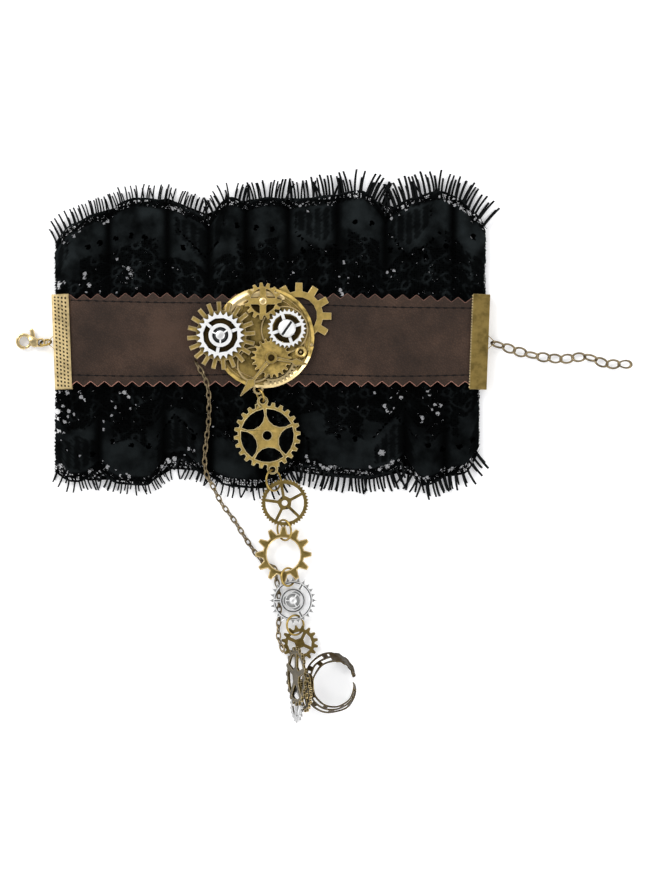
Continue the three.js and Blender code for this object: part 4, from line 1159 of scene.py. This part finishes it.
class ARMBAND_OT_medallion(bpy.types.Operator):
    """Stacks the medallion: its dished plate, gears, hands, screw and rivets"""
    bl_idname = "armband.medallion"
    bl_label = "Medallion"

    def execute(self, context):
        sizes, finishes, brass, silver = metals(context)
        mottled = metal("mottled_brass", shade(finishes.brass, 1.2), 0.4, 0.8)
        light = (metal("light_brass", shade(finishes.brass, 1.3), 0.36, 0.4), brass.worn, brass.deep)
        spur_edge = metal("spur_edge", shade(finishes.brass_worn, 0.6), 0.34, 0.4)
        plate = metal("plate_brass", shade(finishes.brass, 0.6), 0.4, 0.8)
        screw_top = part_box("slotted_screw")[1][2]
        plate_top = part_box("medallion_plate")[1][2]

        def plate_wear_and_highlight(face):
            """Its rim is bright at the lower right, as a painted highlight, and mottled elsewhere, and its rack
            of teeth is bright.
            """
            spotted, rim = 3, 19.4 * MM
            out = (face.center - at(*PLATE_MIDDLE)).to_2d()
            if out.length > rim:
                # The rim's lower right takes the worn finish as a painted highlight.
                return WORN if -98 < math.degrees(math.atan2(out.y, out.x)) < -22 else spotted
            rack = (face.center - at(*DIAL_MIDDLE)).to_2d().length / MM
            return int(8.4 < rack < 11.5 and face.normal.z > 0.9 and face.center.z > plate_top - 0.6 * MM)

        cast("medallion_plate", (plate, brass.worn, brass.deep, mottled), 0.18 * MM, wear_and_light=plate_wear_and_highlight)
        cast("spur_gear", (brass.face, spur_edge, brass.deep), 0.16 * MM, 0.26 * MM, 0.16 * MM)
        cast("cross_gear", light, 0.26 * MM)
        cast("dial_gear", (mottled, brass.worn, brass.deep), sizes.bevel)
        cast("broken_ring_gear", light, sizes.bevel)
        cast("clock_hands", light, 0.1 * MM, 0.24 * MM)
        cast("silver_gear_left", silver, sizes.bevel)
        cast("silver_screw_gear", silver, sizes.bevel)
        # The slot's floor takes the recess finish: painted shade.
        cast("slotted_screw", silver, 0.1 * MM,
             wear_and_light=lambda face: DEEP * (face.normal.z > 0.99 and face.center.z < screw_top - 0.6 * MM))
        cast("eyelet", brass, 0.1 * MM)
        self.plate_details(brass)
        self.gear_details(brass, silver)
        return {"FINISHED"}

    def plate_details(self, brass):
        """The plate's raised rims, fine rings, dark wells of painted shade, domed rim with a painted highlight,
        eye ring and knob.
        """
        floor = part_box("medallion_plate")[0][2] / MM + 2.4
        pieces = (
            ("dial-rim-right", (5.6, 5.15, floor), ring_profile(9.8, 9.15, 0.5), brass.worn),
            ("dial-rim-left", (-6.6, -9.2, floor), ring_profile(7.5, 6.7, 0.55), brass.worn),
            ("plate-ring-outer", (*PLATE_MIDDLE, floor), ring_profile(18.95, 18.6, 0.25), brass.worn),
            ("plate-ring-inner", (*PLATE_MIDDLE, floor), ring_profile(17.3, 16.9, 0.25), brass.worn),
            # The wells are near-black discs under the cross gear, the screw gear and the eye: painted shade.
            ("well-cross", (*CROSS_MIDDLE, floor - 0.2), disc_profile(5.2, 0.3), brass.deep),
            ("well-screw", (6.7, 5.5, floor - 0.2), disc_profile(6, 0.3), brass.deep),
            ("eye-ring", (*EYE_MIDDLE, floor), ring_profile(2.9, 1.3, 0.5), brass.face),
            ("eye-well", (*EYE_MIDDLE, floor - 0.2), disc_profile(1.4, 0.3), brass.deep),
            ("plate-knob", (16.9, -1.2, floor + 0.4), disc_profile(0.8, 0.6), brass.worn),
        )
        for name, centre, profile, material in pieces:
            finish(turned(name, centre, profile, 64), (material,))
        self.domed_rim(floor, brass)

    def domed_rim(self, floor, brass):
        """The wide dome along the plate's upper left rim, in bright worn brass as a painted highlight."""
        dome = grid("domed-rim", 40, 8)
        middle = at(*PLATE_MIDDLE)

        def bend(points):
            share, across = points[:, 0] + 0.5, points[:, 1] * 2
            angle = np.radians(62 + 103 * share)
            half = 2.2 * np.sin(share * math.pi) ** 0.45 + 0.1
            radius = 18.2 + half * across
            rise = 0.95 * (1 - across ** 2) * np.sin(share * math.pi) ** 0.5
            return np.column_stack((
                middle.x + radius * np.cos(angle) * MM, middle.y + radius * np.sin(angle) * MM,
                (floor - 0.05 + rise) * MM))

        shape(dome, bend)
        apply(dome, "SOLIDIFY", thickness=0.3 * MM, offset=-1)
        outwards(dome)
        smooth(dome, 40)
        # Bright worn brass on the upper left of the rim only: a painted highlight.
        finish(dome, (brass.worn,))

    def gear_details(self, brass, silver):
        """Hubs, collars and rivets on the gears."""
        hub = (*SPUR_MIDDLE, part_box("silver_gear_left")[1][2] / MM)
        spur_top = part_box("spur_gear")[1][2] / MM
        cross_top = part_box("cross_gear")[1][2] / MM
        hands_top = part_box("clock_hands")[1][2] / MM
        eye_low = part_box("eyelet")[0][2] / MM
        collar = 1.0
        pieces = (
            # The wells are near-black discs in the hollows of the spur gear, the silver collar and the hands'
            # collar: painted shade.
            ("spur-well", (*SPUR_MIDDLE, spur_top - 0.12), disc_profile(7.6, 0.2), brass.deep, BRASS),
            ("silver-collar", (*SPUR_MIDDLE, hub[2] - collar), ring_profile(4.85, 3.3, collar), silver.face,
             SILVER),
            ("silver-well", (*SPUR_MIDDLE, hub[2] - 0.8),
             ((3.4, 0), (3.4, 0.1), (2.62, 0.12), (2.62, 0.82), (0.5, 0.83)), silver.deep, SILVER),
            ("silver-hub", hub, disc_profile(1.9, 0.45), silver.worn, SILVER),
            ("cross-hub", (*CROSS_MIDDLE, cross_top - 0.02), disc_profile(1.5, 0.5), brass.worn, BRASS),
            ("cross-pin", (*CROSS_MIDDLE, cross_top + 0.35), disc_profile(0.6, 0.4), brass.worn, BRASS),
            ("hands-collar", (*DIAL_MIDDLE, hands_top - 0.02), ring_profile(2.3, 1.35, 0.4), brass.face, BRASS),
            ("hands-well", (*DIAL_MIDDLE, hands_top - 0.02), disc_profile(1.4, 0.1), brass.deep, BRASS),
            ("hands-pin", (*DIAL_MIDDLE, hands_top), disc_profile(0.75, 0.45), brass.deep, BRASS),
            ("eyelet-bead", (*EYELET_MIDDLE, eye_low + 0.05), disc_profile(1.25, 0.3), brass.deep, BRASS),
            ("eyelet-pin", (*EYELET_MIDDLE, eye_low + 0.2), disc_profile(0.55, 0.6), brass.worn, BRASS),
        )
        for name, centre, profile, material, slot in pieces:
            finish(turned(name, centre, profile, 40), (material,))
        for i, turn in enumerate((35, 160, 270)):
            spoke = bar(f"silver-spoke-{i + 1}", outward(hub, turn, 2.6, lift=-0.1), (1.7, 0.65, 0.5), turn)
            finish(spoke, (silver.face,))


# Drop of gears

class ARMBAND_OT_drop(bpy.types.Operator):
    """Casts the five drop gears and sets the silver one's rings and spokes"""
    bl_idname = "armband.drop"
    bl_label = "Drop gears"

    def execute(self, context):
        sizes, finishes, brass, silver = metals(context)
        tones = (("star_brass", 1.3), ("worn_brass", 0.55), ("open_brass", 0.72), ("small_brass", 0.5))
        star, worn, open_gear, small = (
            metal(name, shade(finishes.brass, tone), 0.36, 0.5) for name, tone in tones)
        dull = metal("dull_silver", shade(finishes.silver, 0.55), 0.34, 0.3)
        star_edge = metal("star_edge", shade(finishes.brass_worn, 1.15), 0.3, 0.15, shelter=0.6)
        cast("drop_gear_1", (star, star_edge, brass.deep), 0.1 * MM, sizes.outline)
        cast("drop_gear_2", (worn, brass.worn, brass.deep), 0.14 * MM, flat=False)
        cast("drop_gear_3", (open_gear, brass.worn, brass.deep), sizes.bevel, sizes.outline)
        cast("drop_gear_4", (dull, silver.worn, silver.deep), 0.08 * MM, 0.14 * MM)
        cast("drop_gear_5", (small, brass.worn, brass.deep), sizes.bevel, 0.24 * MM)
        self.silver_details(silver)
        return {"FINISHED"}

    def silver_details(self, silver):
        """The silver gear's raised rings, its double spokes and the small star in its middle."""
        middle = (*SILVER_DROP_MIDDLE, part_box("drop_gear_4")[1][2] / MM - 0.1)
        # The rings set lower between the raised ones are near-black: painted shade in the grooves.
        bright, dark = (silver.worn, 0.38), (silver.deep, 0.22)
        rings = ((8.15, 0.5, bright), (7.6, 0.3, dark), (5.35, 0.5, bright), (4.8, 0.4, dark),
                 (4.35, 0.45, bright), (3.3, 0.45, bright))
        for i, (radius, width, (material, height)) in enumerate(rings):
            ring = turned(f"silver-drop-ring-{i + 1}", middle, ring_profile(radius, radius - width, height))
            finish(ring, (material,))
        finish(turned("silver-drop-hub", middle, disc_profile(1.3, 0.5)), (silver.worn,))
        spokes = (("inner", 2, 0, (1.9, 0.6, 0.4)), ("left", 6.6, 0.5, (2.5, 0.35, 0.4)),
                  ("right", 6.6, -0.5, (2.5, 0.35, 0.4)))
        for i in range(3):
            turn = 60 + 120 * i
            for word, out, aside, size in spokes:
                spoke = bar(f"silver-drop-{word}-{i + 1}", outward(middle, turn, out, aside, 0.2), size, turn)
                finish(spoke, (silver.worn,))


# Wire rings and chains

def smooth_route(points, count):
    """Places at even steps on the smooth curve through a route's points, with its directions there."""
    knots = [Vector(point) for point in points]
    knots = [2 * knots[0] - knots[1]] + knots + [2 * knots[-1] - knots[-2]]
    fine = []
    steps = 24
    for a, b, c, d in zip(knots, knots[1:], knots[2:], knots[3:]):
        for step in range(steps):
            t = step / steps
            fine.append(0.5 * ((2 * b) + (c - a) * t + (2 * a - 5 * b + 4 * c - d) * t * t
                               + (3 * b - a - 3 * c + d) * t ** 3))
    fine.append(knots[-2])
    lengths = [0.0]
    for a, b in zip(fine, fine[1:]):
        lengths.append(lengths[-1] + (b - a).length)
    result = []
    for i in range(count):
        wanted = lengths[-1] * i / (count - 1)
        j = min(max(np.searchsorted(lengths, wanted), 1), len(fine) - 1)
        share = (wanted - lengths[j - 1]) / max(lengths[j] - lengths[j - 1], 1e-9)
        place = fine[j - 1].lerp(fine[j], share)
        result.append((place, (fine[j] - fine[j - 1]).normalized()))
    return result


def wire_link(name, length, width, wire, around, sides):
    """A wire link: a torus, drawn out along X to an oval."""
    pick()
    bpy.ops.mesh.primitive_torus_add(major_segments=around, minor_segments=sides,
                                     major_radius=(width / 2 - wire) * MM, minor_radius=wire * MM)
    link = new_piece(name)
    shape(link, lambda points: points * ((length / 2 - wire) / (width / 2 - wire), 1, 1))
    return link


def lying(centre, along, lean):
    """Where a flat wire form lies along a direction, leaning out of the level about it."""
    level = Vector((0, 0, 1)).cross(along).normalized()
    lift = along.cross(level).normalized()
    across = level * math.cos(math.radians(lean)) + lift * math.sin(math.radians(lean))
    normal = along.cross(across)
    turn = Matrix((along, across, normal)).transposed().to_4x4()
    return Matrix.Translation(at(*centre)) @ turn


class ARMBAND_OT_chains(bpy.types.Operator):
    """Bends the jump rings and links the side chain and the extension chain"""
    bl_idname = "armband.chains"
    bl_label = "Rings and chains"

    def execute(self, context):
        sizes = context.scene.armband_metal
        finishes = context.scene.armband_finishes
        brass = metal("ring_brass", shade(finishes.brass, 0.9), 0.3, 0.4)
        chain = metal("chain_brass", tuple(finishes.chain), 0.3, 0.45)
        wire = sizes.wire / MM
        for node, start, end, lean in RINGS:
            start, end = Vector(start), Vector(end)
            outer = (end - start).length + 2 * wire
            ring = wire_link(node.replace("_", "-"), outer, outer, wire, 36, 10)
            ring.data.transform(lying((start + end) / 2, (end - start).normalized(), lean))
            smooth(ring, 60)
            finish(ring, (brass,), (node,))
        self.side_chain(sizes.side_links, chain)
        self.extension_chain(sizes.end_links, chain)
        return {"FINISHED"}

    def side_chain(self, count, brass):
        """The fine chain, with every other link on its other edge."""
        link = wire_link("side-link", 3.9, 2.4, 0.33, 20, 6)
        places = [lying(place, along, 14 if i % 2 else -66)
                  for i, (place, along) in enumerate(smooth_route(SIDE_ROUTE, count))]
        links = repeat(link, places, "side-chain-links")
        smooth(links, 60)
        finish(links, (brass,), ("side_chain",))

    def extension_chain(self, count, brass):
        """The cable chain, which ends in a link drawn in to a drop."""
        route = smooth_route(CHAIN_ROUTE, count)
        link, drop = (wire_link(name, 6.1, 4.6, 0.43, 28, 8) for name in ("end-link", "end-drop"))
        shape(drop, lambda points: points * np.column_stack(
            (np.ones(len(points)), 0.82 + 60 * points[:, 0], np.ones(len(points)))))
        drop.data.transform(lying(*route[-1], -10))
        edgeways = (3, 8)  # links that stand on their edge
        leans = [60] + [58 if i in edgeways else -26 if i % 2 else 26 for i in range(1, count - 1)]
        places = [lying(place + Vector((0, 0, 0.5 * (i in edgeways))), along, lean)
                  for i, ((place, along), lean) in enumerate(zip(route, leans))]
        links = repeat(link, places, "extension-links")
        for part in (links, drop):
            smooth(part, 60)
        finish(drop, (brass,))
        finish(links, (brass,), ("extension_chain",))


class ARMBAND_OT_clasp(bpy.types.Operator):
    """Rounds the lobster clasp and its lever"""
    bl_idname = "armband.clasp"
    bl_label = "Clasp"

    def execute(self, context):
        finishes = context.scene.armband_finishes
        brass = metal("clasp_brass", shade(finishes.brass_worn, 0.85), 0.24, 0.3, shelter=0.12)
        for node, bulge, body in (("clasp_body", 0.5 * MM, "root"), ("clasp_lever", 0.1 * MM, "lever")):
            self.rounded(node, bulge, body, brass)
        return {"FINISHED"}

    def rounded(self, node, bulge, body, brass):
        """A copy of a node with all its edges rounded off, domed where it is widest."""
        piece = merged_copy(node, node.replace("_", "-"))
        apply(piece, "REMESH", mode="VOXEL", voxel_size=0.14 * MM)
        apply(piece, "SMOOTH", factor=0.5, iterations=9)
        low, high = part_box(node)
        middle = (low[2] + high[2]) / 2
        wide = at(*CLASP_MIDDLE)

        def dome(points):
            points = points.copy()
            along, across = (points[:, 0] - wide.x) / (2.2 * MM), (points[:, 1] - wide.y) / (1.7 * MM)
            points[:, 2] += bulge * np.exp(-along ** 2 - across ** 2) * (points[:, 2] > middle)
            return points

        shape(piece, dome)
        apply(piece, "SMOOTH", factor=0.5, iterations=4)
        apply(piece, "DISPLACE", strength=0.16 * MM, mid_level=0.0)
        smooth(piece, 180)
        finish(piece, (brass,), (node,), body)


# Finger ring

class ARMBAND_OT_finger_ring(bpy.types.Operator):
    """Weaves the open filigree ring, and finishes its pad and the three gears stacked on it"""
    bl_idname = "armband.finger_ring"
    bl_label = "Finger ring"

    def execute(self, context):
        sizes, finishes, brass, silver = metals(context)
        bronze = metal("ring_bronze", shade(finishes.brass_dark, 0.85), 0.4, 0.6, shelter=0.3)
        place = Matrix.Translation(at(*FINGER_MIDDLE)) @ Matrix.Rotation(math.radians(19.7), 4, "Y")
        band = self.filigree()
        pad = self.pad()
        sharp = 34
        for part in (band, pad):
            coat(part, (bronze, brass.worn))
            part.data.transform(place)
            smooth(part, sharp)
            apply(part, "BEVEL", width=0.18 * MM, segments=2, limit_method="ANGLE", material=WORN,
                  angle_limit=math.radians(sharp), harden_normals=True)
        finish(pad)
        finish(band, None, ("ring_band",))
        dark = (metal("dark_brass", shade(finishes.brass, 0.13), 0.36, 0.5), brass.worn, brass.deep)
        for node in ("ring_gear_big", "ring_gear_small"):
            cast(node, dark, sizes.bevel)
        dull = (metal("grey_silver", shade(finishes.silver, 0.45), 0.32, 0.3), silver.worn, silver.deep)
        cast("ring_gear_silver", dull, sizes.bevel)
        return {"FINISHED"}

    def filigree(self):
        """The ring's band: a strip of wavy strands parted by slits, with a grooved leaf at one end and a
        point at the other, bent round the finger."""
        columns, rows = 66, 9
        band = grid("filigree-band", columns, rows)

        def slit(face):
            column, row = grid_place(face, columns, rows)
            if column < 15 or column > 62 or 30 < column < 36:
                return False
            return row in (1, 2, 3) and column % 8 > 1 or row in (5, 6, 7) and (column + 4) % 8 > 1

        choose_faces(band, slit)
        bpy.ops.mesh.delete(type="FACE")
        leave_edit()

        def bend(points):
            share, across = points[:, 0] + 0.5, points[:, 1] * 2
            angle = np.radians(13.5 + 347 * share)
            ends = np.clip(np.minimum(share, 1 - share) / 0.16, 0, 1) ** 0.7
            wave = 0.9 + 0.1 * np.cos(share * 16 * math.pi)
            half = 3.2 * wave * (0.12 + 0.88 * ends)
            sway = 0.16 * np.sin(share * 16 * math.pi) * (1 - across ** 2) * ends
            leaf = np.clip((0.24 - share) / 0.05, 0, 1)
            groove = 0.2 * leaf * np.cos((share * 150 + np.abs(across) * 3.4) * 2)
            tail = np.clip((share - 0.78) / 0.08, 0, 1)
            flare = 3.2 * np.abs(np.sin(angle)) ** 0.6 * (1 - tail) + 4.2 * tail * ends ** 0.8
            radius = 9.3 + flare * (1 - across) / 2 + groove
            return np.column_stack((radius * np.cos(angle), radius * np.sin(angle),
                                    (across + sway) * half)) * MM

        shape(band, bend)
        apply(band, "SOLIDIFY", thickness=0.5 * MM, offset=0)
        outwards(band)
        return band

    def pad(self):
        """The round pad that carries the gears."""
        pick()
        bpy.ops.mesh.primitive_cylinder_add(vertices=36, radius=4.6 * MM, depth=1.5 * MM,
                                            location=(-10.25 * MM, 0, 0), rotation=(0, math.radians(90), 0))
        pad = new_piece("ring-pad")
        choose_faces(pad, lambda face: face.normal.x < -0.9)
        bpy.ops.mesh.inset(thickness=0.5 * MM, depth=-0.25 * MM)
        leave_edit()
        return pad


# Stage

class ARMBAND_OT_stage(bpy.types.Operator):
    """Sets the pale floor, the soft lights and the camera straight above"""
    bl_idname = "armband.stage"
    bl_label = "Stage"

    def execute(self, context):
        sizes = context.scene.armband_stage
        self.floor()
        self.sky(context)
        self.light("key", (-0.7, 0.7, 1.0), 0.6, sizes.key_power)
        self.light("fill", (0.9, -0.5, 0.9), 0.6, sizes.fill_power)
        camera = in_scene("camera", bpy.data.cameras.new("camera"))
        camera.data.lens = 100
        camera.data.clip_end = 10
        camera.location = at(*PICTURE_MIDDLE) + Vector((0, 0, sizes.camera_distance))
        context.scene.camera = camera
        context.scene.view_settings.view_transform = "Standard"
        return {"FINISHED"}

    def floor(self):
        pick()
        bpy.ops.mesh.primitive_plane_add(size=16, location=(0, 0, -0.3 * MM))
        floor = new_piece("floor")
        material, tree, shader = blank_material("pale_floor")
        speckle = effect(tree, "tarnish_and_shade", blotch_scale=3.0, pit_scale=900.0)
        paint(tree, shader, speckle.outputs["Blotches"], ((0.0, (0.93,) * 3), (1.0, (0.96,) * 3)), 0.1, 0.9)
        # The floor glows a little: painted light that lifts the shadows and the floor seen through the lace.
        shader.inputs["Emission Color"].default_value = (0.95, 0.96, 1, 1)
        shader.inputs["Emission Strength"].default_value = 0.24
        floor.data.materials.append(material)

    def light(self, name, place, size, power):
        lamp = in_scene(name, bpy.data.lights.new(name, "AREA"))
        lamp.data.size = size
        lamp.data.energy = power
        lamp.location = place
        lamp.rotation_euler = (-Vector(place)).to_track_quat("-Z", "Y").to_euler()

    def sky(self, context):
        """A soft surround, dimmer straight above, so that level metal faces keep their colour."""
        world = bpy.data.worlds.new("studio")
        context.scene.world = world
        world.use_nodes = True
        tree = world.node_tree
        direction = tree.nodes.new("ShaderNodeTexCoord").outputs["Generated"]
        split = tree.nodes.new("ShaderNodeSeparateXYZ")
        tree.links.new(direction, split.inputs["Vector"])
        tone = ramp(tree, split.outputs["Z"], ((0.0, (0.5,) * 3), (0.35, (1.0,) * 3), (0.75, (0.9,) * 3),
                                               (0.93, (0.35,) * 3), (1.0, (0.25,) * 3)))
        tree.links.new(tone, tree.nodes["Background"].inputs["Color"])
        tree.nodes["Background"].inputs["Strength"].default_value = 1.2


class ARMBAND_PT_steps(bpy.types.Panel):
    """Lists the steps that build the armband"""
    bl_idname = "ARMBAND_PT_steps"
    bl_label = "Lace armband"
    bl_space_type = "VIEW_3D"
    bl_region_type = "UI"
    bl_category = "Armband"

    def draw(self, context):
        for operator in OPERATORS:
            self.layout.operator(operator.bl_idname)


OPERATORS = (
    ARMBAND_OT_lace, ARMBAND_OT_leather, ARMBAND_OT_clamps, ARMBAND_OT_medallion, ARMBAND_OT_drop,
    ARMBAND_OT_chains, ARMBAND_OT_clasp, ARMBAND_OT_finger_ring, ARMBAND_OT_stage,
)
SETTINGS = {
    "armband_lace": LaceSizes, "armband_leather": LeatherSizes, "armband_metal": MetalSizes,
    "armband_finishes": Finishes, "armband_stage": StageSizes,
}
CLASSES = tuple(SETTINGS.values()) + OPERATORS + (ARMBAND_PT_steps,)


def register():
    for item in CLASSES:
        bpy.utils.register_class(item)
    for name, kind in SETTINGS.items():
        setattr(bpy.types.Scene, name, PointerProperty(type=kind))


def unregister():
    for name in SETTINGS:
        delattr(bpy.types.Scene, name)
    for item in reversed(CLASSES):
        bpy.utils.unregister_class(item)


def main():
    register()
    for operator in OPERATORS:
        getattr(bpy.ops.armband, operator.bl_idname.split(".")[1])()


if __name__ == "__main__":
    main()
